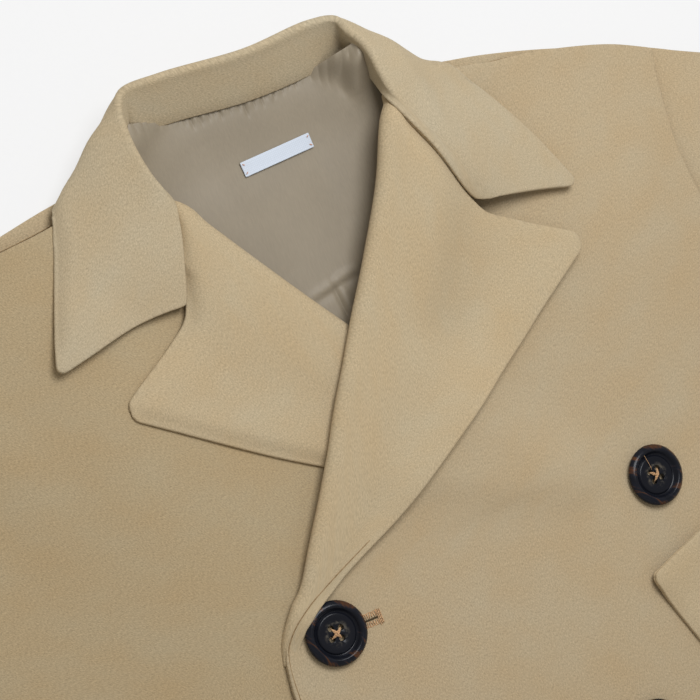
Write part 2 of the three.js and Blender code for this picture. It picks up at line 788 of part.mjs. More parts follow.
// The slope of the cloth under a button, and the height at which the button clears it
function buttonSeat(x, y) {
  const at = (dx, dy) => heightUnder(['front_left'], x + dx, y + dy, 0);
  const r = BUTTON_RADIUS;
  const slopeX = (at(r, 0) - at(-r, 0)) / (2 * r);
  const slopeY = (at(0, r) - at(0, -r)) / (2 * r);
  let height = 0;
  for (let dx = -r; dx <= r; dx += CELL) {
    for (let dy = -r; dy <= r; dy += CELL) {
      if (Math.hypot(dx, dy) > r) continue;
      height = Math.max(height, at(dx, dy) - slopeX * dx - slopeY * dy);
    }
  }
  const normal = new THREE.Vector3(-slopeX, -slopeY, 1).normalize();
  return { normal, height: height + LAYER_GAP };
}

function addButtons() {
  const up = new THREE.Vector3(0, 0, 1);
  BUTTON_PLACES.forEach(({ x, y }, k) => {
    const { normal, height } = buttonSeat(x, y);
    const mesh = new THREE.Mesh(buttonGeometry(), MATERIALS.button);
    mesh.name = `button_${k + 1}`;
    mesh.position.set(x, y, height);
    mesh.quaternion.setFromUnitVectors(up, normal);
    coat.add(mesh);
  });
}

addBack();
for (const hand of [1, -1]) {
  const under = addSleeve(hand, 'under', []);
  addSleeve(hand, 'top', [under]);
}
addLining();
const rightFront = {
  roll: RIGHT_FRONT_ROLL,
  lapelTop: RIGHT_LAPEL_TOP,
  lapelEdge: RIGHT_LAPEL_EDGE,
  liesOn: ['back', 'lining_back'],
};
const leftFront = {
  roll: LEFT_FRONT_ROLL,
  lapelTop: LEFT_LAPEL_TOP,
  lapelEdge: LEFT_LAPEL_EDGE,
  liesOn: ['back', 'lining_back', 'front_right', 'lapel_right'],
};
const rightEdge = addFront(-1, 'front_right', rightFront);
addLapel(-1, 'lapel_right', rightFront, rightEdge, ['front_right']);
const leftEdge = addFront(1, 'front_left', leftFront);
addLapel(1, 'lapel_left', leftFront, leftEdge, ['front_left']);
settleCollar(['front_left', 'front_right', 'back']);
addWelt(1, 'pocket_welt_left', 'front_left');
addWelt(-1, 'pocket_welt_right', 'front_right');
addLabel();
addButtons();

// The part's origin is the middle of its underside
const box = new THREE.Box3().setFromObject(coat);
const middle = box.getCenter(new THREE.Vector3());
coat.position.set(-middle.x, -middle.y, 0);
const part = new THREE.Group();
part.add(coat);

export default part;
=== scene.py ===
import math

import bpy
import numpy as np
from mathutils import Matrix, Vector


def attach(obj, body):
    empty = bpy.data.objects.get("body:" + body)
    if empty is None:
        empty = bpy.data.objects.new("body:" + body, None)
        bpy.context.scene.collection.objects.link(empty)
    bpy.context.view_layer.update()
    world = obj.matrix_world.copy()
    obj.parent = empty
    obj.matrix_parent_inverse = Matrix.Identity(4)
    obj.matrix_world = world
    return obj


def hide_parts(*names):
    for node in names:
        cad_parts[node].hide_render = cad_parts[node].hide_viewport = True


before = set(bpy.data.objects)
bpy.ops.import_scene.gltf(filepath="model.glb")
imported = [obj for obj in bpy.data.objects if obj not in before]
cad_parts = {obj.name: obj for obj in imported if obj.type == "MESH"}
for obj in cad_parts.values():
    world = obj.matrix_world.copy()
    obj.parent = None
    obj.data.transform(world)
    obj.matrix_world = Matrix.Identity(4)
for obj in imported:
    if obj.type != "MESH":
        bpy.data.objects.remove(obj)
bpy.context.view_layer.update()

bl_info = {
    "name": "Pea coat laid flat",
    "version": (1, 0, 0),
    "blender": (4, 5, 0),
    "location": "3D View > Sidebar > Pea coat",
    "description": "Dresses the solids of a double-breasted wool coat in cloth, horn and thread",
    "category": "Object",
}

# Millimetres in the coat's own plan: the centre front is x = 0, x grows to the viewer's right,
# y towards the collar and z upwards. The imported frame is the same, moved along y.
ROW_SHIFT = 232.524

BACK_WALL, SLEEVE_WALL, FRONT_WALL = 3.0, 3.0, 3.6
LAPEL_WALL, COLLAR_WALL, WELT_WALL = 3.6, 3.6, 3.6
LINING_WALL, LABEL_WALL = 1.2, 0.6
LAYER_GAP = 0.45
SEAM_GAP = 0.3

HEM_Y, HEM_HALF, OVERLAP, BREAK_Y = -625.0, 288.0, 96.0, -124.0
LEFT_SEAM_DROP = 3.5
ROLL_INSET = 6.5
TURN_DEPTH = (7.6, 4.4)
ROLL_SPREAD = (75.0, 34.0)
ARM_SHARE = 0.4

# How far single edges stand up, are pressed down or sink
BACK_NECK_LIFT, SLEEVE_LOFT, CAP_SINK = 4.0, 7.5, 2.5
LAPEL_EDGE_LIFT, LAPEL_BOW, LAPEL_PRESSED, LAPEL_TUCK, RIM_COVER = 3.4, 0.9, 2.2, 2.6, 2.2
COLLAR_END_LIFT, COLLAR_PRESSED = 2.6, 2.7
WELT_TOP_LIFT, WELT_CROWN, WELT_PRESSED = 2.4, 0.6, 1.1
LAPEL_CORNER, COLLAR_CORNERS, WELT_ROUND = 12.0, (5.5, 7.0), 3.2

# The body's side: down the armhole to the armpit, then the side seam
ARMHOLE = [
    (226, 88), (221.8, 73), (218, 52.4), (216, 35), (217.2, 14), (222, -25), (233, -70), (264, -130),
]
SIDE_SEAM = [(264, -130), (270, -280), (278, -450), (288, -625)]
BACK_TOP = [
    (0, 131), (30, 131.5), (58, 130), (104.6, 120.5), (124, 117), (145, 112.7), (165, 108), (186, 102.5),
    (201, 98), (216, 92), (226, 88),
]
FRONT_TOP = [(57, 106), (76, 113), (110.9, 113), (131.6, 110), (149.7, 108.3), (200, 98), (226, 88)]
SLEEVE_OUTER = [(226, 88), (254.7, 76), (300, 58), (350, 30), (395, -10), (520, -188), (650, -374)]
CUFF_INNER = (527, -460)

# The rolls from the neck down to the overlap: the last number is the height of the fold
LEFT_ROLL = [
    (57.0, 117, 33.0), (53.9, 109, 36.6), (51.2, 102.5, 37.5), (46.5, 93, 36.5), (36.7, 71.8, 33),
    (14.9, 36.3, 27), (-2.3, 11.4, 24), (-25.1, -21.9, 22), (-40.9, -46.6, 21), (-64.5, -80, 19),
    (-76.7, -97.4, 17), (-83.2, -103, 15.5), (-90, -111.5, 14), (-94.2, -118.5, 13.2), (-97, -127, 12.8),
]
RIGHT_ROLL = [
    (-67, 102.5, 20), (-61.9, 96.4, 23.2), (-52.5, 85, 23), (-39.6, 66.5, 21), (-15.5, 31.7, 18),
    (0, 11, 15), (30, -32, 13), (64.5, -80, 11), (84.5, -104, 10), (96, -124, 10),
]
# The gorge seams, where the collar is sewn to each lapel, from the crown of the roll to the notch
LEFT_GORGE = [(56.2, 104), (58.6, 98.6), (69.2, 78.4), (78.4, 57.6), (85.2, 45.8)]
RIGHT_GORGE = [(-63.4, 94.6), (-66, 82), (-70.4, 66.6), (-75.4, 49.8)]
LEFT_LAPEL_TOP = [
    (60.5, 110), (62.4, 96), *LEFT_GORGE[2:], (91.1, 38.1), (102.2, 31.4), (115.5, 23), (140.8, 7.1),
]
LEFT_LAPEL_EDGE = [
    (140.8, 7.1), (127.5, -1.2), (102.6, -16.8), (79.1, -32.1), (49.9, -48.5), (28.2, -60.4), (1.9, -74.9),
    (-20, -86), (-41.3, -94.5), (-54, -99.8), (-62, -104), (-68.5, -107.3), (-74.5, -110.2), (-80.6, -114.2),
    (-84.6, -118.2), (-88, -123), (-91.5, -130),
]
RIGHT_LAPEL_TOP = [
    (-66.4, 101), (-66.9, 84), *RIGHT_GORGE[2:], (-79.3, 43.1), (-91.1, 34.6), (-113, 21.9), (-128.3, 12.7),
]
RIGHT_LAPEL_EDGE = [
    (-128.3, 12.7), (-116.6, 4.4), (-103.9, -4.5), (-82.4, -19.6), (-60.4, -34.8), (-40.7, -47.5), (2, -75),
    (41, -94.5), (72, -106), (92, -128),
]

# Lines across the collar from the viewer's left point to the right one:
# seam at the neck, roll, fall of the leaf, heel and outer edge
COLLAR_SECTIONS = [
    [(-75, 51.5, 15), (-84, 51, 15), (-108, 48.5, 15), (-128, 44, 15), (-149.5, 39.5, 15)],
    [(-68.6, 72.5, 20), (-75, 73, 20), (-98, 73, 19), (-120.5, 70, 17), (-138.2, 66, 15)],
    [(-63.4, 96, 23), (-66.8, 97.5, 24.2), (-90, 99.5, 21), (-112, 94, 17), (-126.4, 93, 15)],
    [(-68.6, 111.5, 17), (-71.4, 113.4, 25.6), (-92, 117, 21.5), (-109, 111.5, 17), (-122, 104.8, 14)],
    [(-71, 121, 14.5), (-74, 124.4, 27.4), (-92, 127.5, 21.5), (-106.5, 122.4, 16), (-116.8, 113.9, 12.5)],
    [(-71.5, 127.5, 12.5), (-75, 136.6, 28.6), (-88.6, 138.2, 22), (-98.4, 128, 14), (-102, 118, 5)],
    [(-68.5, 132, 11), (-74.2, 147, 29.4), (-81.6, 143.6, 22.5), (-86, 133.5, 9), (-90, 119, 2.4)],
    [(-61.5, 135.2, 13.5), (-69.6, 154.2, 30.6), (-72.6, 150.3, 20), (-74, 142.5, 4.4), (-79, 122, 2)],
    [(-46, 135.5, 14.5), (-50, 155.2, 32), (-51.4, 154.4, 15), (-51, 149, 2.6), (-48, 108, 1.9)],
    [(-2, 133, 14.5), (-4, 153.0, 32.5), (-4, 152.8, 15), (-4, 148, 2.6), (-4, 107, 1.9)],
    [(36, 135.6, 15), (33, 155.8, 33), (35, 155.4, 16), (38, 149, 2.8), (42, 112, 1.9)],
    [(52, 139.5, 15.5), (46.5, 153.4, 34), (53, 149.4, 29), (60, 142, 12), (66, 124, 2)],
    [(55.5, 135, 16), (50, 146.4, 35), (63, 141.6, 28.5), (70, 134, 14), (76, 122, 4)],
    [(57.6, 130, 17), (54.4, 138.6, 36), (72, 134.4, 27), (83, 126, 17), (90, 116.5, 9)],
    [(58.4, 125.5, 21), (56.2, 131, 37), (76, 128, 28.5), (90, 120, 20), (99.4, 117.2, 16)],
    [(58.4, 117, 27), (56.8, 120.5, 37.8), (78, 120, 30.5), (95, 113, 22), (109, 106, 16.5)],
    [(56.2, 104, 37.2), (60.4, 104.4, 38), (80, 104.5, 31), (101, 98, 23), (118.4, 92, 17.5)],
    [(69.6, 79.4, 31), (76, 78.5, 30), (95, 75.5, 26), (116, 70, 21), (133.6, 64.5, 18)],
    [(85.2, 46, 22), (93, 44, 21.5), (110.5, 41, 20), (128, 37.5, 18.5), (147, 32.5, 18)],
]
COLLAR_ROWS = [9, 5, 5, 12, 12, 12]
COLLAR_COLUMNS = [13, 13, 9, 6, 6, 6, 7, 8, 12, 12, 7, 5, 5, 5, 6, 8, 13, 13]

WELT_CORNER, WELT_SLANTS, WELT_SIZE = (98.6, -165.8), (14.5, 19.5), (45.0, 175.0)
LABEL_PLACE, LABEL_TURN, LABEL_SIZE = (0.0, 103.1), 3.6, (39.5, 7.3)

BUTTONS = [(-68.8, -123.3), (126.2, -120.5), (-70, -238), (70, -238), (-70, -353), (70, -353)]
BUTTON_TURNS = [30, 52, 12, 75, 41, 22]
BUTTON_RADIUS = 16.0
HOLE_PLACE, HOLE_RADIUS = 3.6, 1.6
STITCH, SEWING, LOOSE_END = 0.27, 0.26, 0.12

# Half a button's section from the middle of its underside out and up to the middle of its top
BUTTON_SECTION = [
    (11, 0), (14.4, 0.5), (15.6, 1.3), (16, 2.2), (15.8, 3.1), (15, 3.9), (14, 4.5), (13.2, 4.75),
    (12.6, 4.6), (12.1, 4.1), (11.5, 3.1), (10.9, 2.3), (10.4, 2.15), (10, 2.5), (9.6, 2.95), (9.1, 3.05),
    (7, 2.8), (5, 2.7),
]


def linear(code):
    """The linear colour of a colour in sRGB hex."""
    values = [int(code[k:k + 2], 16) / 255 for k in (1, 3, 5)]
    return tuple(v / 12.92 if v <= 0.04045 else ((v + 0.055) / 1.055) ** 2.4 for v in values)


def shaded(tone, shares):
    """A colour with each of its three values taken to a share."""
    return [c * k for c, k in zip(tone, shares)]


# Lines and surfaces


class Line:
    """A smooth line through given points, read by its share of the length or of its spans."""

    STEPS = 48

    def __init__(self, rows):
        points = np.array([(*row, 0.0)[:3] for row in rows], float)
        ends = [2 * points[0] - points[1], *points, 2 * points[-1] - points[-2]]
        t = np.linspace(0, 1, self.STEPS, endpoint=False)[:, None]
        made = []
        for a, b, c, d in zip(ends, ends[1:], ends[2:], ends[3:]):
            pairs = ((a, b), (b, c), (c, d))
            first, second, third = (max(np.linalg.norm(q - p) ** 0.5, 1e-4) for p, q in pairs)
            leave = ((b - a) / first - (c - a) / (first + second) + (c - b) / second) * second
            reach = ((c - b) / second - (d - b) / (second + third) + (d - c) / third) * second
            bend = 3 * (c - b) - 2 * leave - reach
            made.append(b + leave * t + bend * t**2 + (2 * (b - c) + leave + reach) * t**3)
        self.points = np.vstack([*made, points[-1:]])
        lengths = np.concatenate([[0], np.cumsum(np.linalg.norm(np.diff(self.points, axis=0), axis=1))])
        self.length = lengths[-1]
        self.shares = lengths / self.length

    def __call__(self, t):
        t = np.clip(t, 0, 1)
        return np.stack([np.interp(t, self.shares, self.points[:, k]) for k in range(3)], -1)

    def by_span(self, t):
        places = np.linspace(0, 1, len(self.points))
        return np.stack([np.interp(t, places, self.points[:, k]) for k in range(3)], -1)


def mirrored(rows, hand):
    """The same rows for the viewer's right side, or mirrored for the left."""
    return [(row[0] * hand, *row[1:]) for row in rows]


def chain(first, second, share):
    def joined(t):
        t = np.asarray(t, float)
        low = first(np.clip(t / share, 0, 1))
        high = second(np.clip((t - share) / (1 - share), 0, 1))
        return np.where((t < share)[..., None], low, high)
    return joined


def backwards(line):
    return lambda t: line(1 - np.asarray(t, float))


def patch(near, far, start, end, u, v):
    """Points of a surface between four edges: near and far run along u, start and end along v."""
    across = v[None, :, None]
    along = u[:, None, None]
    made = near(u)[:, None] * (1 - across) + far(u)[:, None] * across
    made = made + start(v)[None] * (1 - along) + end(v)[None] * along
    corners = near(np.array([0.0, 1.0])), far(np.array([0.0, 1.0]))
    made = made - corners[0][0] * (1 - along) * (1 - across) - corners[0][1] * along * (1 - across)
    made = made - corners[1][0] * (1 - along) * across - corners[1][1] * along * across
    made[..., 2] = 0
    return made


def smooth(value, low, high):
    t = np.clip((value - low) / (high - low), 0, 1)
    return t * t * (3 - 2 * t)


def mix(a, b, t):
    return a + (b - a) * t


def running_mean(values, reach):
    """The mean of each value and its neighbours up to that many places away."""
    count = 2 * reach + 1
    return np.convolve(np.pad(values, reach, mode="edge"), np.ones(count) / count, mode="valid")


def reach_along(grid, axis):
    """The length along one direction of a grid, from its first line to each point."""
    steps = np.linalg.norm(np.diff(grid, axis=axis), axis=2)
    pad = [(1, 0), (0, 0)] if axis == 0 else [(0, 0), (1, 0)]
    return np.pad(np.cumsum(steps, axis=axis), pad)


def raw_normals(grid):
    along = np.gradient(grid, axis=0)
    across = np.gradient(grid, axis=1)
    made = np.cross(along, across)
    made /= np.maximum(np.linalg.norm(made, axis=2, keepdims=True), 1e-9)
    if min(grid.shape[:2]) > 8:
        # At a rounded corner the two directions run into each other, so its turn comes from inside
        for rows, i in ((slice(0, 3), 3), (slice(-3, None), -4)):
            for columns, j in ((slice(0, 3), 3), (slice(-3, None), -4)):
                made[rows, columns] = made[i, j]
    return made


def drawn_in(grid, amount, reach=5.0, joined=None):
    """Draws the outline in, so that a rounded rim ends on the cut edge. The edge where the
    distance along the joined axis is 0 stays, because more cloth follows there."""
    normal = raw_normals(grid)
    along = np.gradient(grid, axis=0)
    across = np.gradient(grid, axis=1)
    shift = np.zeros_like(grid)
    rows = reach_along(grid, 1)
    columns = reach_along(grid, 0)
    for axis, travel, turn in ((1, rows, np.cross(normal, along)), (0, columns, -np.cross(normal, across))):
        turn = turn / np.maximum(np.linalg.norm(turn, axis=2, keepdims=True), 1e-9)
        last = travel[:, -1:] if axis == 1 else travel[-1:, :]
        first_turn = turn[:, :1] if axis == 1 else turn[:1, :]
        last_turn = turn[:, -1:] if axis == 1 else turn[-1:, :]
        near = np.clip(1 - travel / reach, 0, 1)[..., None]
        far = np.clip(1 - (last - travel) / reach, 0, 1)[..., None]
        shift += near * first_turn - far * last_turn
    shift[..., 2] = 0
    if joined is not None:
        shift *= smooth(reach_along(grid, joined), 0, 2 * reach)[..., None]
    return grid + shift * amount


def rounded(grid, i, j, radius):
    """Rounds one corner of a grid's outline."""
    rows = slice(None, None, -1) if i else slice(None)
    columns = slice(None, None, -1) if j else slice(None)
    turned = grid[rows, columns]
    corner = turned[0, 0, :2]
    side = turned[np.argmax(reach_along(turned, 0)[:, 0] > radius), 0, :2] - corner
    other = turned[0, np.argmax(reach_along(turned, 1)[0] > radius), :2] - corner
    basis = np.stack([side / np.linalg.norm(side), other / np.linalg.norm(other)], 1)
    parts = (turned[..., :2] - corner) @ np.linalg.inv(basis).T
    inner = np.clip((radius - parts) / radius, 0, None)
    both = (inner[..., 0] > 0) & (inner[..., 1] > 0)
    size = np.linalg.norm(inner, axis=2)
    scale = np.where(both, inner.max(2) / np.maximum(size, 1e-9), 1)
    moved = np.where(both[..., None], radius - inner * scale[..., None] * radius, parts)
    turned[..., :2] = corner + moved @ basis.T
    return grid


def crease(grid, rows, width, height):
    """A soft ridge, or a trough where height is less than 0, that fades at its two ends."""
    line = Line(rows)
    share = np.linspace(0, 1, 60)
    points = line(share)[:, :2]
    weight = np.sin(math.pi * np.clip(share, 0.02, 0.98)) ** 0.6
    low = points.min(0) - 4 * width
    high = points.max(0) + 4 * width
    near = ((grid[..., :2] > low) & (grid[..., :2] < high)).all(2)
    if not near.any():
        return grid
    away = np.linalg.norm(grid[near][:, None, :2] - points[None], axis=2)
    nearest = away.argmin(1)
    gap = away.min(1)
    grid[near, 2] += height * weight[nearest] * np.exp(-((gap / width) ** 2))
    return grid


# What already lies on the table: one height map a piece, in small square cells

CELL = 1.5
MAP_LOW = (-690.0, -650.0)
MAP_SHAPE = (921, 560)
laid = {}


def lay(name, grid, wall):
    """Keeps the top of a piece's wall."""
    top = grid + raw_normals(grid) * facing(grid) * wall / 2
    step = max(np.linalg.norm(np.diff(grid, axis=axis), axis=2).max() for axis in (0, 1))
    parts = max(2, int(math.ceil(step / CELL * 1.3)))
    fine = top
    for axis in (0, 1):
        count = fine.shape[axis]
        places = np.linspace(0, count - 1, (count - 1) * parts + 1)
        low = np.minimum(places.astype(int), count - 2)
        share = places - low
        share = share[:, None, None] if axis == 0 else share[None, :, None]
        fine = np.take(fine, low, axis) * (1 - share) + np.take(fine, low + 1, axis) * share
    heights = np.zeros(MAP_SHAPE)
    ix = np.rint((fine[..., 0] - MAP_LOW[0]) / CELL).astype(int)
    iy = np.rint((fine[..., 1] - MAP_LOW[1]) / CELL).astype(int)
    np.maximum.at(heights, (ix, iy), fine[..., 2])
    laid[name] = heights


def facing(grid):
    middle = raw_normals(grid)[grid.shape[0] // 2, grid.shape[1] // 2, 2]
    return 1.0 if middle >= 0 else -1.0


def top_of(names, spread):
    """The height of the named pieces together, spread to the cells round each."""
    heights = np.max([laid[name] for name in names], axis=0) if names else np.zeros(MAP_SHAPE)
    span = int(round(spread / CELL))
    for axis in (0, 1):
        if span:
            heights = np.max([np.roll(heights, k, axis) for k in range(-span, span + 1)], axis=0)
    return heights


def read(heights, x, y):
    fx = (x - MAP_LOW[0]) / CELL
    fy = (y - MAP_LOW[1]) / CELL
    ix = np.clip(fx.astype(int), 0, MAP_SHAPE[0] - 2)
    iy = np.clip(fy.astype(int), 0, MAP_SHAPE[1] - 2)
    sx = fx - ix
    sy = fy - iy
    low = heights[ix, iy] * (1 - sx) + heights[ix + 1, iy] * sx
    high = heights[ix, iy + 1] * (1 - sx) + heights[ix + 1, iy + 1] * sx
    return low * (1 - sy) + high * sy


def eased(heights, rounds):
    for _ in range(rounds):
        wide = np.pad(heights, 1, mode="edge")
        heights = (wide[:-2, 1:-1] + wide[2:, 1:-1] + wide[1:-1, :-2] + wide[1:-1, 2:]) / 4
    return heights


def draped(grid, wall, names, rounds=50, spread=3.0, held=None):
    """Lets a sheet down on what lies under it, as soft cloth that spans small steps."""
    floor = read(top_of(names, spread), grid[..., 0], grid[..., 1]) + wall / 2 + (LAYER_GAP if names else 0)
    height = np.maximum(grid[..., 2], floor)
    kept = height.copy()
    for _ in range(rounds):
        height = np.maximum(eased(height, 1), floor)
        if held is not None:
            height = mix(height, np.maximum(kept, floor), held)
    grid[..., 2] = eased(height, 2) if held is None else mix(eased(height, 2), height, held)
    return grid


# Meshes


def to_row(points):
    return (np.asarray(points, float).reshape(-1, 3) + (0, ROW_SHIFT, 0)) / 1000


# Section of a rim from its top ply round to its bottom ply, in half walls: (outwards, upwards)
TWO_PLIES = [(0, 1), (0.3, 0.94), (0.52, 0.72), (0.58, 0.42), (0.5, 0.15), (0.3, 0), (0.5, -0.15),
             (0.58, -0.42), (0.52, -0.72), (0.3, -0.94), (0, -1)]
ONE_PLY = [(0, 1), (0.3, 0.9), (0.52, 0.55), (0.6, 0), (0.52, -0.55), (0.3, -0.9), (0, -1)]
RIM_REACH = 0.6


def wall_piece(name, grid, wall, material, section=TWO_PLIES):
    """A closed wall of cloth round a grid of middle points, with its rim and its cut map."""
    n, m = grid.shape[:2]
    raw = raw_normals(grid)
    face = facing(grid)
    up = raw * face
    ring = [(i, 0) for i in range(n)] + [(n - 1, j) for j in range(1, m)]
    ring += [(i, m - 1) for i in range(n - 2, -1, -1)] + [(0, j) for j in range(m - 2, 0, -1)]
    ring = np.array(ring)
    edge = grid[ring[:, 0], ring[:, 1]]
    tangent = np.roll(edge, -1, axis=0) - np.roll(edge, 1, axis=0)
    outward = -np.cross(raw[ring[:, 0], ring[:, 1]], tangent)
    outward /= np.maximum(np.linalg.norm(outward, axis=1, keepdims=True), 1e-9)
    half = wall / 2
    count = len(ring)
    blocks = [(grid + up * half).reshape(-1, 3), (grid - up * half).reshape(-1, 3)]
    rim_up = up[ring[:, 0], ring[:, 1]]
    for out, rise in section[1:-1]:
        blocks.append(edge + outward * out * half + rim_up * rise * half)
    flat = ring[:, 0] * m + ring[:, 1]
    middle = [2 * n * m + k * count + np.arange(count) for k in range(len(section) - 2)]
    rings = [flat, *middle, n * m + flat]
    corner = (np.arange(n - 1)[:, None] * m + np.arange(m - 1)[None]).ravel()
    top = np.stack([corner, corner + m, corner + m + 1, corner + 1], 1)
    faces = [top, (top + n * m)[:, ::-1]]
    for high, low in zip(rings, rings[1:]):
        faces.append(np.stack([high, low, np.roll(low, -1), np.roll(high, -1)], 1))
    faces = np.vstack(faces)
    if face < 0:
        faces = faces[:, ::-1]
    cut = np.stack([reach_along(grid, 1), reach_along(grid, 0)], 2)
    rim_cut = cut[ring[:, 0], ring[:, 1]]
    maps = [cut.reshape(-1, 2)] * 2 + [rim_cut + out * half for out, _ in section[1:-1]]
    return mesh_piece(name, np.vstack(blocks), faces.tolist(), material, np.vstack(maps))


def mesh_piece(name, points, faces, material, cut=None):
    mesh = bpy.data.meshes.new(name)
    mesh.from_pydata(to_row(points).tolist(), [], faces)
    mesh.polygons.foreach_set("use_smooth", np.ones(len(mesh.polygons), bool))
    if cut is not None:
        corners = np.zeros(len(mesh.loops), int)
        mesh.loops.foreach_get("vertex_index", corners)
        layer = mesh.uv_layers.new(name="cut")
        layer.data.foreach_set("uv", (cut[corners] / 1000).ravel())
    mesh.update()
    made = bpy.data.objects.new(name, mesh)
    bpy.context.collection.objects.link(made)
    mesh.materials.append(material)
    return made


def placed(piece, slot, *nodes):
    """Puts a finished piece on the coat's one body, in place of the named solids."""
    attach(piece, "root")
    if nodes:
        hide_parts(*nodes)
    return piece


def tube(points, radius, sides=8):
    """Points and faces of one closed round strand along a line."""
    points = np.asarray(points, float)
    along = np.gradient(points, axis=0)
    along /= np.linalg.norm(along, axis=1, keepdims=True)
    side = np.cross(along, (0, 0, 1.0))
    weak = np.linalg.norm(side, axis=1) < 0.1
    side[weak] = np.cross(along[weak], (0, 1.0, 0))
    side /= np.linalg.norm(side, axis=1, keepdims=True)
    rise = np.cross(side, along)
    angle = np.linspace(0, 2 * math.pi, sides, endpoint=False)
    rings = points[:, None] + radius * (
        np.cos(angle)[None, :, None] * side[:, None] + np.sin(angle)[None, :, None] * rise[:, None])
    n = len(points)
    first = (np.arange(n - 1)[:, None] * sides + np.arange(sides)[None]).ravel()
    after = (np.arange(n - 1)[:, None] * sides + np.roll(np.arange(sides), -1)[None]).ravel()
    faces = [tuple(row) for row in np.stack([first, first + sides, after + sides, after], 1).tolist()]
    faces.append(tuple(range(sides)))
    faces.append(tuple(range(n * sides - 1, (n - 1) * sides - 1, -1)))
    return rings.reshape(-1, 3), faces


def strands_piece(name, strands, material):
    """One piece of many separate strands: each is its points and its radius."""
    points = []
    faces = []
    for line, radius in strands:
        made, loops = tube(line, radius)
        start = sum(len(block) for block in points)
        points.append(made)
        faces.extend(tuple(start + k for k in loop) for loop in loops)
    return mesh_piece(name, np.vstack(points), faces, material)


def strand_on(heights, points, rise, radius):
    """A strand on the cloth, its middle line that far above it."""
    points = np.asarray(points, float)
    z = read(heights, points[:, 0], points[:, 1]) + rise
    return np.column_stack([points, z]), radius


# Materials


def node(tree, kind, links=None, **settings):
    """Adds a node with its settings, and links sockets of earlier nodes to its inputs."""
    made = tree.nodes.new(kind)
    for name, value in settings.items():
        if name == "stops":
            elements = made.color_ramp.elements
            while len(elements) < len(value):
                elements.new(0.5)
            for element, (place, colour) in zip(elements, value):
                element.position = place
                element.color = (*colour, 1)
        elif name.startswith("in_"):
            key = name[3:]
            made.inputs[int(key) if key.isdigit() else key.replace("_", " ")].default_value = value
        else:
            setattr(made, name, value)
    for name, (source, output) in (links or {}).items():
        tree.links.new(source.outputs[output], made.inputs[name])
    return made


def new_material(name):
    made = bpy.data.materials.new(name)
    made.use_nodes = True
    tree = made.node_tree
    return made, tree, tree.nodes["Principled BSDF"]


def brushed_wool(name, tone):
    """Wool melton, fulled and brushed: a matt felt whose short nap lies down the cloth.

    It gives the eye no gloss at all, a fine speckle of lighter and darker fibres and a pale
    sheen where it turns away. The nap is about 0.3 mm wide, drawn 0.6 mm wide so that it shows."""
    made, tree, shader = new_material(name)
    place = node(tree, "ShaderNodeUVMap", uv_map="cut")
    lie = node(tree, "ShaderNodeMapping", {"Vector": (place, "UV")}, in_Scale=(1.0, 0.45, 1.0))
    nap = node(tree, "ShaderNodeTexNoise", {"Vector": (lie, 0)},
               in_Scale=1700, in_Detail=3, in_Roughness=0.6, in_Distortion=0.2)
    speck = node(tree, "ShaderNodeTexNoise", {"Vector": (place, "UV")},
                 in_Scale=1250, in_Detail=3, in_Roughness=0.7)
    cloud = node(tree, "ShaderNodeTexNoise", {"Vector": (place, "UV")},
                 in_Scale=26, in_Detail=4, in_Roughness=0.55)
    both = node(tree, "ShaderNodeMath", {0: (nap, 0), 1: (speck, 0)}, operation="ADD")
    evened = node(tree, "ShaderNodeMath", {0: (both, 0)}, operation="MULTIPLY", in_1=0.5)
    light, mid, dark = ([min(c * k, 1) for c in tone] for k in (1.22, 1.0, 0.78))
    fibres = node(tree, "ShaderNodeValToRGB", {"Fac": (evened, 0)},
                 stops=[(0.36, dark), (0.5, mid), (0.64, light)])
    worn = node(tree, "ShaderNodeValToRGB", {"Fac": (cloud, 0)},
                 stops=[(0.32, (1.0, 0.955, 0.9)), (0.68, (1.0, 1.02, 1.05))])
    colour = node(tree, "ShaderNodeMix", {6: (fibres, 0), 7: (worn, 0)},
                  data_type="RGBA", blend_type="MULTIPLY", in_0=1.0)
    tree.links.new(colour.outputs[2], shader.inputs["Base Color"])
    bump = node(tree, "ShaderNodeBump", {"Height": (evened, 0)}, in_Strength=0.45, in_Distance=0.0006)
    tree.links.new(bump.outputs[0], shader.inputs["Normal"])
    shader.inputs["Roughness"].default_value = 0.95
    shader.inputs["Specular IOR Level"].default_value = 0.12
    shader.inputs["Sheen Weight"].default_value = 0.22
    shader.inputs["Sheen Roughness"].default_value = 0.45
    shader.inputs["Sheen Tint"].default_value = (*linear("#e6dcc4"), 1)
    return made


def seam_shade(name, tone):
    """The same wool darkened with painted shade, laid as a line where it is drawn down into a seam."""
    made, tree, shader = new_material(name)
    place = node(tree, "ShaderNodeTexCoord")
    nap = node(tree, "ShaderNodeTexNoise", {"Vector": (place, "Object")}, in_Scale=700, in_Detail=3)
    tones = node(tree, "ShaderNodeValToRGB", {"Fac": (nap, 0)},
                 stops=[(0.3, shaded(tone, (0.5, 0.42, 0.34))), (0.7, shaded(tone, (0.8, 0.7, 0.6)))])
    tree.links.new(tones.outputs[0], shader.inputs["Base Color"])
    shader.inputs["Roughness"].default_value = 1.0
    shader.inputs["Specular IOR Level"].default_value = 0.05
    return made


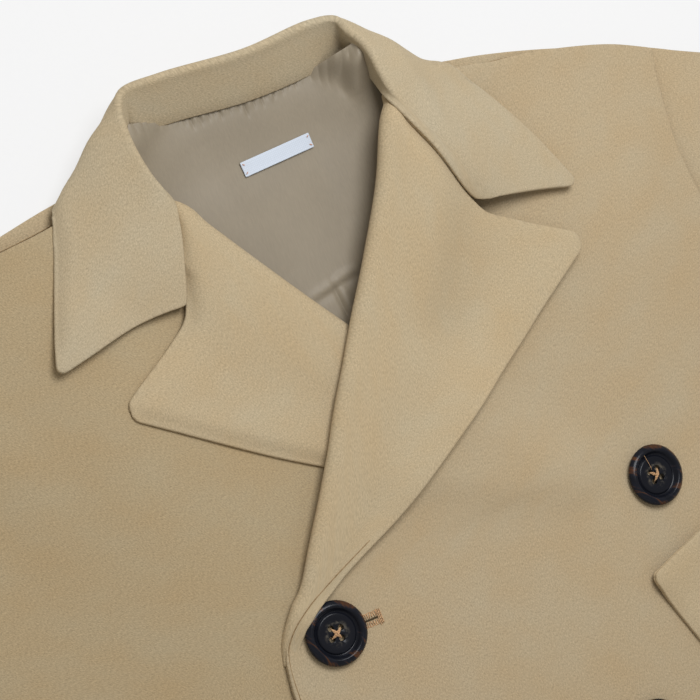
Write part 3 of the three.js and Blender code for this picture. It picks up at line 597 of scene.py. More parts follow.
def satin_lining(name, tone):
    """Viscose satin: smooth floats of thread that give a soft low gloss and show every gather.

    Its threads are 0.15 mm apart, drawn 0.6 mm apart so that they show."""
    made, tree, shader = new_material(name)
    place = node(tree, "ShaderNodeTexCoord")
    thread = node(tree, "ShaderNodeMapping", {"Vector": (place, "Object")}, in_Scale=(1.0, 0.12, 1.0))
    floats = node(tree, "ShaderNodeTexNoise", {"Vector": (thread, 0)}, in_Scale=1600, in_Detail=2)
    cloud = node(tree, "ShaderNodeTexNoise", {"Vector": (place, "Object")}, in_Scale=40, in_Detail=2)
    both = node(tree, "ShaderNodeMath", {0: (floats, 0), 1: (cloud, 0)}, operation="ADD")
    half = node(tree, "ShaderNodeMath", {0: (both, 0)}, operation="MULTIPLY", in_1=0.5)
    tones = node(tree, "ShaderNodeValToRGB", {"Fac": (half, 0)},
                 stops=[(0.32, [c * 0.93 for c in tone]), (0.68, [c * 1.07 for c in tone])])
    tree.links.new(tones.outputs[0], shader.inputs["Base Color"])
    bump = node(tree, "ShaderNodeBump", {"Height": (floats, 0)}, in_Strength=0.15, in_Distance=0.0003)
    tree.links.new(bump.outputs[0], shader.inputs["Normal"])
    shader.inputs["Roughness"].default_value = 0.5
    shader.inputs["Specular IOR Level"].default_value = 0.35
    shader.inputs["Sheen Weight"].default_value = 0.1
    return made


def woven_label(name, tone):
    """Polyester taffeta ribbon: a tight plain weave, pale and a little glossy.

    Its threads are 0.1 mm apart, drawn 0.5 mm apart so that they show."""
    made, tree, shader = new_material(name)
    place = node(tree, "ShaderNodeUVMap", uv_map="cut")
    warp = node(tree, "ShaderNodeTexWave", {"Vector": (place, "UV")}, bands_direction="X", in_Scale=320)
    weft = node(tree, "ShaderNodeTexWave", {"Vector": (place, "UV")}, bands_direction="Y", in_Scale=320)
    weave = node(tree, "ShaderNodeMath", {0: (warp, "Fac"), 1: (weft, "Fac")}, operation="MULTIPLY")
    tones = node(tree, "ShaderNodeValToRGB", {"Fac": (weave, 0)},
                 stops=[(0.0, [c * 0.9 for c in tone]), (0.8, tone)])
    tree.links.new(tones.outputs[0], shader.inputs["Base Color"])
    bump = node(tree, "ShaderNodeBump", {"Height": (weave, 0)}, in_Strength=0.25, in_Distance=0.0002)
    tree.links.new(bump.outputs[0], shader.inputs["Normal"])
    shader.inputs["Roughness"].default_value = 0.55
    return made


def polished_horn(name, dark, streak):
    """Dark horn, turned and polished: glossy, near black, with brown growth streaks in the rim.

    The thread has worn the dish pale round the holes."""
    made, tree, shader = new_material(name)
    place = node(tree, "ShaderNodeUVMap", uv_map="face")
    out = node(tree, "ShaderNodeVectorMath", {0: (place, "UV")}, operation="LENGTH")
    growth = node(tree, "ShaderNodeMapping", {"Vector": (place, "UV")},
                  in_Rotation=(0, 0, 0.9), in_Scale=(1.0, 0.3, 1.0))
    bands = node(tree, "ShaderNodeTexNoise", {"Vector": (growth, 0)},
                 in_Scale=190, in_Detail=5, in_Roughness=0.6, in_Distortion=1.2)
    rim = node(tree, "ShaderNodeMapRange", {"Value": (out, "Value")},
               in_From_Min=0.0085, in_From_Max=0.0145, in_To_Min=-0.16, in_To_Max=0.03)
    strength = node(tree, "ShaderNodeMath", {0: (bands, 0), 1: (rim, 0)}, operation="ADD")
    tones = node(tree, "ShaderNodeValToRGB", {"Fac": (strength, 0)},
                 stops=[(0.42, dark), (0.53, [c * 1.6 for c in dark]),
                        (0.60, streak), (0.72, [c * 1.7 for c in streak])])
    centred = node(tree, "ShaderNodeMapRange", {"Value": (out, "Value")}, in_From_Min=0.0, in_From_Max=0.01)
    ring = node(tree, "ShaderNodeValToRGB", {"Fac": (centred, 0)},
                stops=[(0.40, (0, 0, 0)), (0.52, (1, 1, 1)), (0.60, (0.5, 0.5, 0.5)), (0.72, (0, 0, 0))])
    patchy = node(tree, "ShaderNodeTexNoise", {"Vector": (place, "UV")},
                  in_Scale=260, in_Detail=3, in_Roughness=0.7)
    chosen = node(tree, "ShaderNodeMapRange", {"Value": (patchy, 0)}, in_From_Min=0.47, in_From_Max=0.62)
    worn = node(tree, "ShaderNodeMath", {0: (ring, 0), 1: (chosen, 0)}, operation="MULTIPLY")
    share = node(tree, "ShaderNodeMath", {0: (worn, 0)}, operation="MULTIPLY", in_1=0.26)
    colour = node(tree, "ShaderNodeMix", {0: (share, 0), 6: (tones, 0)},
                  data_type="RGBA", in_7=(*linear("#9a917f"), 1))
    tree.links.new(colour.outputs[2], shader.inputs["Base Color"])
    scratch = node(tree, "ShaderNodeTexNoise", {"Vector": (place, "UV")}, in_Scale=900, in_Detail=2)
    bump = node(tree, "ShaderNodeBump", {"Height": (scratch, 0)}, in_Strength=0.08, in_Distance=0.0002)
    tree.links.new(bump.outputs[0], shader.inputs["Normal"])
    shader.inputs["Roughness"].default_value = 0.24
    shader.inputs["Specular IOR Level"].default_value = 0.2
    return made


def spun_thread(name, tone):
    """Spun polyester sewing thread: matt, with the twist showing as fine light and dark."""
    made, tree, shader = new_material(name)
    place = node(tree, "ShaderNodeTexCoord")
    twist = node(tree, "ShaderNodeTexNoise", {"Vector": (place, "Object")}, in_Scale=2200, in_Detail=2)
    tones = node(tree, "ShaderNodeValToRGB", {"Fac": (twist, 0)},
                 stops=[(0.38, [c * 0.45 for c in tone]), (0.62, [min(1, c * 1.4) for c in tone])])
    tree.links.new(tones.outputs[0], shader.inputs["Base Color"])
    shader.inputs["Roughness"].default_value = 0.8
    return made


def studio_paper(name, tone):
    """A matt paper sweep: plain and pale, with no pattern that the eye can find."""
    made, tree, shader = new_material(name)
    place = node(tree, "ShaderNodeTexCoord")
    grain = node(tree, "ShaderNodeTexNoise", {"Vector": (place, "Object")}, in_Scale=300, in_Detail=1)
    tones = node(tree, "ShaderNodeValToRGB", {"Fac": (grain, 0)},
                 stops=[(0.3, [c * 0.995 for c in tone]), (0.7, tone)])
    tree.links.new(tones.outputs[0], shader.inputs["Base Color"])
    # Lit from behind as a light table is, so that the coat stands on an even white
    tree.links.new(tones.outputs[0], shader.inputs["Emission Color"])
    shader.inputs["Emission Strength"].default_value = 3.4
    shader.inputs["Roughness"].default_value = 1.0
    shader.inputs["Specular IOR Level"].default_value = 0.0
    return made


# Sizes and colours that a user would change


class CoatCloth(bpy.types.PropertyGroup):
    wool: bpy.props.FloatVectorProperty(
        name="Wool", description="Colour of the outer cloth", subtype="COLOR", size=3,
        default=linear("#b7a586"))
    lining: bpy.props.FloatVectorProperty(
        name="Lining", description="Colour of the satin lining", subtype="COLOR", size=3,
        default=linear("#8e8370"))
    label: bpy.props.FloatVectorProperty(
        name="Label", description="Colour of the bare label", subtype="COLOR", size=3,
        default=linear("#cdd6e2"))
    loft: bpy.props.FloatProperty(
        name="Chest loft", description="Most that the chest stands up from the flat",
        default=0.007, min=0, max=0.010, unit="LENGTH")
    gathers: bpy.props.FloatProperty(
        name="Gathers", description="Depth of the lining's gathers at the neck",
        default=0.001, min=0, max=0.002, unit="LENGTH")


class CoatTrim(bpy.types.PropertyGroup):
    horn: bpy.props.FloatVectorProperty(
        name="Horn", description="Dark colour of the buttons", subtype="COLOR", size=3,
        default=linear("#12141b"))
    streak: bpy.props.FloatVectorProperty(
        name="Streak", description="Colour of the streaks in the horn", subtype="COLOR", size=3,
        default=linear("#4a2f1e"))
    thread: bpy.props.FloatVectorProperty(
        name="Thread", description="Colour of the buttonhole and button thread", subtype="COLOR", size=3,
        default=linear("#c39a70"))
    tack: bpy.props.FloatVectorProperty(
        name="Label tack", description="Colour of the label's corner stitches", subtype="COLOR", size=3,
        default=linear("#d98f5c"))
    sides: bpy.props.IntProperty(
        name="Button sides", description="Sides of a turned button", default=72, min=24, max=128)


class CoatStage(bpy.types.PropertyGroup):
    paper: bpy.props.FloatVectorProperty(
        name="Paper", description="Colour of the studio floor", subtype="COLOR", size=3,
        default=linear("#7d7d7d"))
    key: bpy.props.FloatProperty(
        name="Key light", description="Power of the large soft light", default=8.4, min=0, unit="POWER")
    fill: bpy.props.FloatProperty(
        name="Fill", description="Strength of the even light from all round",
        default=0.40, min=0, max=1, subtype="FACTOR")


finishes = {}

# One wool in copies with light and shade painted in: the viewer's left front darker and warmer as if in
# shade, the lapels, welts and collar paler and greyer as if lit
PANEL_PAINTED_SHADES = {
    "wool": (0.95, 0.95, 0.95),
    "wool_right": (0.87, 0.855, 0.81),
    "wool_facing": (1.02, 1.03, 1.03),
    "wool_collar": (0.98, 1.02, 1.07),
}
# How dark the painted shade in a buttonhole's slit is
SLIT_SHADE = (0.22, 0.22, 0.22)


def finish_of(kind):
    """The coat's material of that kind, made once."""
    if kind not in finishes:
        cloth = bpy.context.scene.coat_cloth
        trim = bpy.context.scene.coat_trim
        made = {
            "seam": lambda: seam_shade("wool_in_seam", tuple(cloth.wool)),
            "slit": lambda: seam_shade("wool_in_slit", shaded(cloth.wool, SLIT_SHADE)),
            "lining": lambda: satin_lining("satin_lining", tuple(cloth.lining)),
            "label": lambda: woven_label("label_taffeta", tuple(cloth.label)),
            "horn": lambda: polished_horn("dark_horn", tuple(trim.horn), tuple(trim.streak)),
            "thread": lambda: spun_thread("tan_thread", tuple(trim.thread)),
            "tack": lambda: spun_thread("orange_thread", tuple(trim.tack)),
        }
        # Each panel's copy of the wool is darkened or paled by its painted shade or light
        if kind in PANEL_PAINTED_SHADES:
            name = kind.replace("wool", "wool_melton")
            finishes[kind] = brushed_wool(name, shaded(cloth.wool, PANEL_PAINTED_SHADES[kind]))
        else:
            finishes[kind] = made[kind]()
    return finishes[kind]


# Cloth


def body_side(hand):
    return chain(Line(mirrored(ARMHOLE, hand)), Line(mirrored(SIDE_SEAM, hand)), ARM_SHARE)


def chest_loft(x, y):
    """How far the shoulder and chest stand up from the flat."""
    high = bpy.context.scene.coat_cloth.loft * 1000
    right = np.exp(-(((x - 158) / 62) ** 2) - ((y - 26) / 85) ** 2)
    left = np.exp(-(((x + 128) / 52) ** 2) - ((y - 16) / 90) ** 2)
    return high * (right + 1.25 * left)


def collar_grid():
    spans = len(COLLAR_ROWS)
    rows = np.concatenate([(k + np.arange(c) / c) / spans for k, c in enumerate(COLLAR_ROWS)] + [[1.0]])
    lines = []
    for section in COLLAR_SECTIONS:
        neck, fold, outer, heel, edge = (np.array(point, float) for point in section)
        brow = mix(neck, fold, 0.8)
        nape = mix(fold, outer, 0.2) + (0, 0, 0.6)
        lines.append(Line([neck, brow, fold, nape, outer, heel, edge]).by_span(rows))
    lines = np.array(lines)
    spans = len(COLLAR_COLUMNS)
    columns = np.concatenate([(k + np.arange(c) / c) / spans for k, c in enumerate(COLLAR_COLUMNS)] + [[1.0]])
    grid = np.stack([Line(lines[:, row]).by_span(columns) for row in range(len(rows))], 1)
    grid[..., 2] = np.maximum(grid[..., 2], COLLAR_WALL / 2)
    # The neck edge runs along both gorge seams
    ends = sum(COLLAR_COLUMNS[:2]) + 1
    for gorge, turned in ((RIGHT_GORGE, grid[:ends]), (LEFT_GORGE, grid[:-ends - 1:-1])):
        line = Line(gorge[::-1])
        travel = reach_along(turned, 0)[:, 0]
        shift = line(travel / travel[-1]) - turned[:, 0]
        shift[:, 2] = 0
        away = reach_along(turned, 1)[..., None]
        turned += shift[:, None] * np.exp(-((away / 12) ** 2))
    return grid


def make_back():
    collar = collar_grid()
    skipped = sum(COLLAR_COLUMNS[:6])
    flat_row = sum(COLLAR_ROWS[:5]) - 6
    lay("collar_behind", collar[skipped - 2:-skipped + 2, flat_row:], COLLAR_WALL)
    left = Line(mirrored(BACK_TOP, -1))
    top = chain(backwards(left), Line(BACK_TOP), 0.5)
    hem = Line([(-HEM_HALF, HEM_Y), (0, HEM_Y), (HEM_HALF, HEM_Y)])
    u = np.linspace(0, 1, 91)
    v = np.linspace(0, 1, 111)
    grid = patch(top, hem, body_side(-1), body_side(1), u, v)
    grid = drawn_in(grid, SEAM_GAP + RIM_REACH * BACK_WALL / 2)
    grid[..., 2] = BACK_WALL / 2
    rim = smooth(np.abs(grid[..., 0]), 90, 130) * smooth(grid[..., 1], 92, 112)
    grid[..., 2] += BACK_NECK_LIFT * rim
    draped(grid, BACK_WALL, ["collar_behind"], held=rim)
    lay("back", grid, BACK_WALL)
    piece = wall_piece("back_cloth", grid, BACK_WALL, finish_of("wool"))
    placed(piece, "wool", "back")


SLEEVE_FOLDS = [
    # line, width and height, drawn on the viewer's right sleeve
    ([(236, 60), (262, 30), (280, -12)], 9, 2.2),
    ([(232, 10), (262, -22), (300, -48)], 8, -2.0),
    ([(246, -62), (280, -70), (322, -92)], 9, 2.4),
    ([(268, -112), (306, -118), (352, -140)], 7, -2.2),
    ([(282, -132), (316, -142), (350, -170)], 8, 2.0),
    ([(350, -150), (392, -142), (440, -120)], 9, -2.4),
    ([(368, -190), (412, -180), (462, -150)], 10, 2.8),
    ([(392, -226), (430, -226), (486, -200)], 9, -2.2),
    ([(440, -300), (484, -290), (520, -262)], 10, 2.0),
    ([(480, -368), (530, -352), (572, -330)], 9, -1.6),
]


def make_sleeves():
    for hand in (1, -1):
        side = "left" if hand > 0 else "right"
        below = []
        for layer in ("under", "top"):
            cap = Line(mirrored(ARMHOLE, hand))
            outer = Line(mirrored(SLEEVE_OUTER, hand))
            inner = Line(mirrored([ARMHOLE[-1], CUFF_INNER], hand))
            cuff = Line(mirrored([SLEEVE_OUTER[-1], CUFF_INNER], hand))
            u = np.linspace(0, 1, 101)
            v = np.linspace(0, 1, 49)
            grid = patch(outer, inner, cap, cuff, u, v)
            grid = drawn_in(grid, SEAM_GAP + RIM_REACH * SLEEVE_WALL / 2, joined=0)
            grid[..., 2] = SLEEVE_WALL / 2
            if layer == "top":
                width = np.sin(math.pi * np.clip(v, 0, 1))[None] ** 0.55
                length = smooth(u, 0.0, 0.07)[:, None] * mix(1.0, 0.55, u)[:, None]
                grid[..., 2] += SLEEVE_WALL + LAYER_GAP + SLEEVE_LOFT * width * length
                grid[..., 2] += chest_loft(grid[..., 0], grid[..., 1]) * 0.8
                for rows, wide, high in SLEEVE_FOLDS:
                    turned = [(x, y + (0 if hand > 0 else 9), 0) for x, y in rows]
                    crease(grid, mirrored(turned, hand), wide * (1 if hand > 0 else 1.15), high * width.max())
                draped(grid, SLEEVE_WALL, below, rounds=2)
                # The cap is drawn down into the armhole seam
                grid[..., 2] -= CAP_SINK * np.exp(-((reach_along(grid, 0) / 5) ** 2))
            name = f"{layer}_sleeve_{side}"
            lay(name, grid, SLEEVE_WALL)
            piece = wall_piece(f"{name}_cloth", grid, SLEEVE_WALL, finish_of("wool"))
            placed(piece, "wool", name)
            below = [name]


# The lining's gathers along the stand: place along the seam, length, width and height
GATHERS = [
    (0.02, 6, 0.9, -0.7), (0.045, 4, 0.7, 0.5), (0.06, 7, 0.8, -0.8), (0.085, 4, 0.6, -0.5),
    (0.11, 5, 0.7, 0.5), (0.13, 4, 0.6, -0.5), (0.165, 3.5, 0.7, -0.4), (0.20, 4, 0.6, 0.4),
    (0.235, 5, 0.7, -0.6), (0.262, 7, 0.8, -0.9), (0.28, 4, 0.6, 0.5), (0.30, 6, 0.7, -0.8),
    (0.315, 3.5, 0.6, 0.5), (0.335, 5, 0.7, -0.7), (0.36, 4, 0.6, -0.6), (0.385, 6, 0.7, -0.8),
    (0.40, 4, 0.6, 0.5), (0.425, 5, 0.6, -0.6), (0.445, 3.5, 0.6, 0.4), (0.465, 5, 0.7, -0.7),
    (0.49, 9, 0.9, -1.0), (0.51, 5, 0.7, 0.6), (0.53, 6, 0.7, -0.7), (0.55, 4, 0.6, 0.5),
    (0.565, 7, 0.7, -0.8), (0.585, 4, 0.6, -0.6), (0.605, 6, 0.7, 0.6), (0.62, 5, 0.6, -0.8),
    (0.64, 4, 0.6, 0.5), (0.66, 5, 0.7, -0.6), (0.69, 4, 0.6, -0.5), (0.72, 5, 0.7, -0.6),
    (0.75, 4, 0.6, 0.4), (0.79, 5, 0.7, -0.6), (0.82, 8, 0.8, -0.7), (0.85, 12, 1.0, -0.8),
    (0.875, 9, 0.8, 0.6), (0.90, 13, 1.0, -0.8), (0.93, 7, 0.8, -0.7), (0.96, 9, 0.9, 0.6),
]
LINING_TOP = [(-70, 140), (-47.8, 137), (-33.8, 135), (-19.3, 134.3), (-2.3, 134), (11, 134.6), (33.9, 136.6),
              (46, 138.6), (58, 141)]


def make_lining():
    top = Line(LINING_TOP)
    left = Line([(-70, 140), (-78, 118), (-68, 84), (-46, 46), (-22, -2)])
    right = Line([(58, 141), (66, 110), (56, 50), (22, -2)])
    foot = Line([(-22, -2), (0, -3), (22, -2)])
    u = np.linspace(0, 1, 231)
    v = np.linspace(0, 1, 101) ** 1.3
    grid = patch(top, foot, left, right, u, v)
    x, y = grid[..., 0], grid[..., 1]
    below = read(top_of(["back", "collar_behind"], 12.0), grid[..., 0], grid[..., 1])
    grid[..., 2] = eased(below, 10) + LINING_WALL / 2 + LAYER_GAP
    grid[..., 2] += 6.0 * smooth(x, 22, 64) * smooth(y, 0, 50) * (1 - 0.5 * smooth(y, 96, 124))
    grid[..., 2] += 5.0 * smooth(y, 100, 134)
    draped(grid, LINING_WALL, ["back"], rounds=40)
    depth = bpy.context.scene.coat_cloth.gathers * 1000
    for share, length, width, rise in GATHERS:
        lean = (share - 0.45) * 2.2
        start = top(np.array([share]))[0]
        rows = [(start[0] - k * lean, start[1] - k * length, 0) for k in (-0.35, 0.0, 0.33, 0.67, 1.0)]
        crease(grid, rows, width, rise * depth)
    for rows, width, rise in (
        ([(20.7, 37.1), (8.4, 35.3), (3.2, 33.6), (-11.4, 31)], 1.8, 1.1),
        ([(20.7, 33.5), (8.4, 31.9), (3.2, 30.6), (-11.4, 27.5)], 2.0, -0.9),
        ([(3.2, 36), (3.6, 26), (4.6, 12)], 1.4, -1.2),
        ([(6.5, 34), (7.0, 26), (8.0, 12)], 2.4, 0.8),
        ([(56, 138), (49, 128), (50, 116)], 3.0, 3.2),
        ([(50, 139), (43, 129), (45, 117)], 2.4, -1.0),
        ([(38, 132), (34, 96), (30, 60)], 9.0, 1.0),
        ([(-40, 120), (-30, 80), (-18, 44)], 10.0, 0.7),
    ):
        crease(grid, rows, width, rise)
    lay("lining_back", grid, LINING_WALL)
    piece = wall_piece("lining_cloth", grid, LINING_WALL, finish_of("lining"), ONE_PLY)
    placed(piece, "lining", "lining_back")


def inset_at(row, t, least):
    return np.maximum(ROLL_INSET * (1 - smooth(t, row["fade"], 1)), least)


def crown_of(row, hand, least=0.0):
    """The crown of a roll: its edge moved in over the front, less and less towards the overlap."""
    roll = Line(row["roll"])

    def plain(t):
        along = roll(np.minimum(t + 0.01, 1)) - roll(np.maximum(t - 0.01, 0))
        along[..., 2] = 0
        along /= np.linalg.norm(along, axis=-1, keepdims=True)
        inwards = np.stack([-along[..., 1], along[..., 0], np.zeros_like(t)], -1) * hand
        return roll(t) + inwards * inset_at(row, t, least)[..., None]

    # It starts where the gorge seam reaches it
    shift = np.array([*row["top"][0], 0]) - plain(np.zeros(1))[0]
    shift[2] = 0

    def joined(t):
        t = np.asarray(t, float)
        return plain(t) + shift * (1 - smooth(t, 0, 0.1))[..., None]

    return joined


SIDES = {
    -1: dict(side="right", roll=RIGHT_ROLL, top=RIGHT_LAPEL_TOP, edge=RIGHT_LAPEL_EDGE, fade=0.84,
             under=["back", "lining_back"]),
    1: dict(side="left", roll=LEFT_ROLL, top=LEFT_LAPEL_TOP, edge=LEFT_LAPEL_EDGE, fade=0.86,
            under=["back", "lining_back", "front_right", "lapel_right"]),
}
FRONT_FOLDS = {
    1: [
        ([(92, -165), (108, -160), (124, -154), (144, -148)], 5, -1.5),
        ([(205, 60), (180, 20), (170, -40)], 16, 1.2),
        ([(250, -120), (222, -142), (190, -190)], 12, 1.8),
        ([(258, -160), (236, -190), (214, -250)], 10, -1.4),
        ([(30, -200), (60, -300), (74, -420)], 26, 1.5),
        ([(150, -350), (168, -460), (160, -600)], 24, 2.0),
        ([(228, -330), (232, -450), (240, -610)], 20, -1.6),
        ([(60, -470), (70, -540), (60, -622)], 18, 1.5),
    ],
    -1: [
        ([(-92, -165), (-108, -160), (-124, -154), (-144, -148)], 5, -1.5),
        ([(-205, 60), (-184, 12), (-176, -46)], 16, 1.4),
        ([(-252, -124), (-226, -150), (-200, -204)], 12, 1.6),
        ([(-256, -180), (-238, -214), (-222, -280)], 10, -1.3),
        ([(-160, -300), (-168, -430), (-150, -600)], 24, 2.0),
        ([(-230, -300), (-226, -450), (-236, -612)], 20, -1.4),
    ],
}


LAPEL_FOLDS = {
    1: [
        ([(60, 84), (56, 50), (44, 10), (20, -36)], 14, 1.2),
        ([(96, 24), (78, 0), (52, -24)], 12, -1.0),
        ([(20, 20), (0, -20), (-30, -62)], 7, 0.8),
    ],
    -1: [
        ([(-72, 60), (-62, 30), (-40, 0)], 12, 1.0),
        ([(-108, 14), (-90, 4), (-66, -8)], 9, -0.8),
    ],
}


def make_front(hand):
    row = SIDES[hand]
    roll = Line(row["roll"])
    rolled = crown_of(row, hand)
    brk = tuple(rolled(np.array([1.0]))[0])
    edge = Line([(brk[0], brk[1]), (-hand * 99.5, -143), (-hand * 99.5, -170), (-hand * 98, -214),
                 (-hand * 96, -400), (-hand * 96, HEM_Y)])
    near = chain(rolled, edge, ARM_SHARE)
    drop = 0 if hand > 0 else LEFT_SEAM_DROP
    start = tuple(rolled(np.array([0.0]))[0][:2])
    shoulder = [(x, y - drop) for x, y in mirrored(FRONT_TOP[1:-1], hand)]
    top = Line([start, *shoulder, mirrored(FRONT_TOP, hand)[-1]])
    hem = Line([(-hand * OVERLAP, HEM_Y), (hand * HEM_HALF, HEM_Y)])
    u = np.concatenate([np.linspace(0, 0.4, 100, endpoint=False), np.linspace(0.4, 0.5, 14, endpoint=False),
                        np.linspace(0.5, 1, 58)])
    v = np.linspace(0, 1, 86) ** 1.35
    grid = patch(near, body_side(hand), top, hem, u, v)
    grid = drawn_in(grid, SEAM_GAP / 2 + RIM_REACH * FRONT_WALL / 2)
    names = row["under"]
    base = read(top_of(names, 3.0), grid[..., 0], grid[..., 1]) + FRONT_WALL / 2
    base = eased(base, 12)
    share = np.clip(u / ARM_SHARE, 0, 1)[:, None]
    fade = (1 - smooth(u, ARM_SHARE * 0.9, ARM_SHARE * 1.25))[:, None]
    fold = roll(np.clip(u / ARM_SHARE, 0, 1))[:, 2][:, None] - LAPEL_WALL / 2 - mix(*TURN_DEPTH, share)
    away = np.linalg.norm(grid[..., :2] - grid[:, :1, :2], axis=2)
    lift = 1 - smooth(away, 0, mix(*ROLL_SPREAD, share))
    grid[..., 2] = mix(base, np.maximum(base, fold), lift * fade)
    grid[..., 2] += chest_loft(grid[..., 0], grid[..., 1]) * (1 - lift * fade)
    for rows, width, height in FRONT_FOLDS[hand]:
        crease(grid, rows, width, height)
    held = np.clip(lift * fade * 2.5, 0, 1)
    held = np.maximum(held, smooth(chest_loft(grid[..., 0], grid[..., 1]), 0.3, 1.5) * 0.9)
    draped(grid, FRONT_WALL, names, rounds=24, held=held)
    name = f"front_{row['side']}"
    lay(name, grid, FRONT_WALL)
    # The viewer's left front takes the darker, warmer copy of the wool, with painted shade
    piece = wall_piece(f"{name}_cloth", grid, FRONT_WALL, finish_of("wool" if hand > 0 else "wool_right"))
    placed(piece, "wool", name)
    return grid, u


def make_lapel(hand, front, front_u):
    row = SIDES[hand]
    roll = Line(row["roll"])
    near = crown_of(row, hand, LAPEL_WALL / 2 + 0.7)
    start, last = near(np.array([0.0, 1.0]))
    top = Line([tuple(start[:2]), *row["top"][1:]])
    far = Line(row["edge"])
    tail = Line([tuple(last[:2]), row["edge"][-1]])
    u = np.concatenate([np.linspace(0, 0.85, 100, endpoint=False), np.linspace(0.85, 1, 41)])
    v = np.linspace(0, 1, 57)
    grid = patch(near, far, top, tail, u, v)
    grid = rounded(grid, 0, -1, LAPEL_CORNER)
    grid = drawn_in(grid, RIM_REACH * LAPEL_WALL / 2, joined=1)
    names = [f"front_{row['side']}"]
    base = read(top_of(names, 3.0), grid[..., 0], grid[..., 1]) + LAPEL_WALL / 2 + LAYER_GAP
    if hand > 0:
        # The lapel's edge covers the rim of the first button
        over = 1 - smooth(np.hypot(grid[..., 0] - BUTTONS[0][0], grid[..., 1] - BUTTONS[0][1]), 13, 22)
        base += RIM_COVER * over * (1 - smooth(u, 0.94, 0.98))[:, None]
        lifted = smooth(v, 0.55, 1)[None] * (1 - smooth(u, 0.62, 0.85))[:, None]
        base = eased(base, 8) + LAPEL_EDGE_LIFT * lifted
    else:
        base = eased(base, 8) + LAPEL_BOW * np.exp(-(((v - 0.8) / 0.16) ** 2))[None]
    crest = roll(u)[:, 2][:, None] - LAPEL_WALL / 2
    fall = smooth(v, 0, 0.85)[None]
    grid[..., 2] = np.maximum(base, mix(np.maximum(crest, base), base, fall))
    for rows, width, height in LAPEL_FOLDS[hand]:
        crease(grid, rows, width, height)
    held = np.broadcast_to((1 - smooth(v, 0, 0.6))[None], base.shape)
    draped(grid, LAPEL_WALL, names, rounds=10, held=held)
    soft = eased(grid[..., 2], 30)
    grid[..., 2] = mix(grid[..., 2], soft, smooth(u, 0.68, 0.8)[:, None] * (1 - smooth(v, 0.35, 0.65))[None])
    # Its top is tucked under the collar where the gorge seam crosses the roll
    tucked = (1 - smooth(reach_along(grid, 0), 2, 9)) * (1 - smooth(reach_along(grid, 1), 3, 16))
    grid[..., 2] -= LAPEL_TUCK * tucked
    if hand < 0:
        # Its pressed edges lie down on the front
        beside, above = reach_along(grid, 1), reach_along(grid, 0)
        margin = np.minimum(beside[:, -1:] - beside, np.where(v[None] > 0.3, above, 50))
        grid[..., 2] -= LAPEL_PRESSED * (1 - smooth(margin, 0, 9))
    # Its tail sinks into the front, where the two run on as one edge
    grid[..., 2] -= smooth(u, 0.905, 0.985)[:, None] * (LAPEL_WALL + LAYER_GAP + 0.3)
    front_line = np.stack([np.interp(u * ARM_SHARE, front_u, front[:, 0, k]) for k in range(3)], 1)
    outwards = roll(u) - near(u)
    outwards[:, 2] = 0
    outwards /= np.linalg.norm(outwards, axis=1, keepdims=True)
    crown = grid[:, 0]
    drop = np.maximum((crown[:, 2] - front_line[:, 2]) / 2, LAPEL_WALL / 2 + 0.3)
    centre = crown.copy()
    centre[:, 2] -= drop
    bulge = inset_at(row, u, LAPEL_WALL / 2 + 0.7) - LAPEL_WALL / 2 + RIM_REACH * LAPEL_WALL / 2 * 0.6
    bulge *= mix(0.1, 1, smooth(u, 0, 0.07))
    turn = []
    for degrees in np.linspace(178, 12, 13):
        angle = math.radians(degrees)
        point = centre + outwards * (math.sin(angle) ** 0.85 * bulge)[:, None]
        point[:, 2] = centre[:, 2] + math.cos(angle) * drop
        turn.append(point)
    made = np.concatenate([np.stack(turn, 1), grid], 1)
    # The turn runs evenly on into the face
    near_crown = np.exp(-(((np.arange(made.shape[1]) - 14) / 5) ** 2))[None, :, None]
    tail_end = smooth(u, 0.62, 0.75)[:, None, None]
    for _ in range(24):
        across = (made[:, :-2] + made[:, 2:]) / 2
        made[:, 1:-1] = mix(made[:, 1:-1], across, 0.5 * near_crown[:, 1:-1] * mix(0.25, 1, tail_end))
        along = (made[:-2] + made[2:]) / 2
        made[1:-1] = mix(made[1:-1], along, 0.4 * near_crown * tail_end[1:-1])
    made[..., 2] = np.maximum(made[..., 2], LAPEL_WALL / 2 + 0.2)
    name = f"lapel_{row['side']}"
    lay(name, made, LAPEL_WALL)
    # The lapel takes the paler copy of the wool, with painted light
    piece = wall_piece(f"{name}_cloth", made, LAPEL_WALL, finish_of("wool_facing"))
    placed(piece, "wool", name)


COLLAR_FOLDS = [
    # The soft ridge down each leaf, and the bend where the stand turns into the leaf
    ([(63, 145), (71.5, 133), (71.5, 121.5), (76, 106.1), (77.5, 90.9), (82, 74)], 4.0, 2.0),
    ([(83, 134), (85, 121), (90, 104), (92, 88)], 7, -1.3),
    ([(-80, 148), (-88, 134), (-90, 118), (-92, 96)], 8, 1.0),
    ([(-69, 151), (-68.8, 144), (-67.8, 135), (-65.8, 125)], 1.8, -2.0),
    ([(47.5, 150), (50, 143), (52.5, 137)], 2.0, -1.0),
]


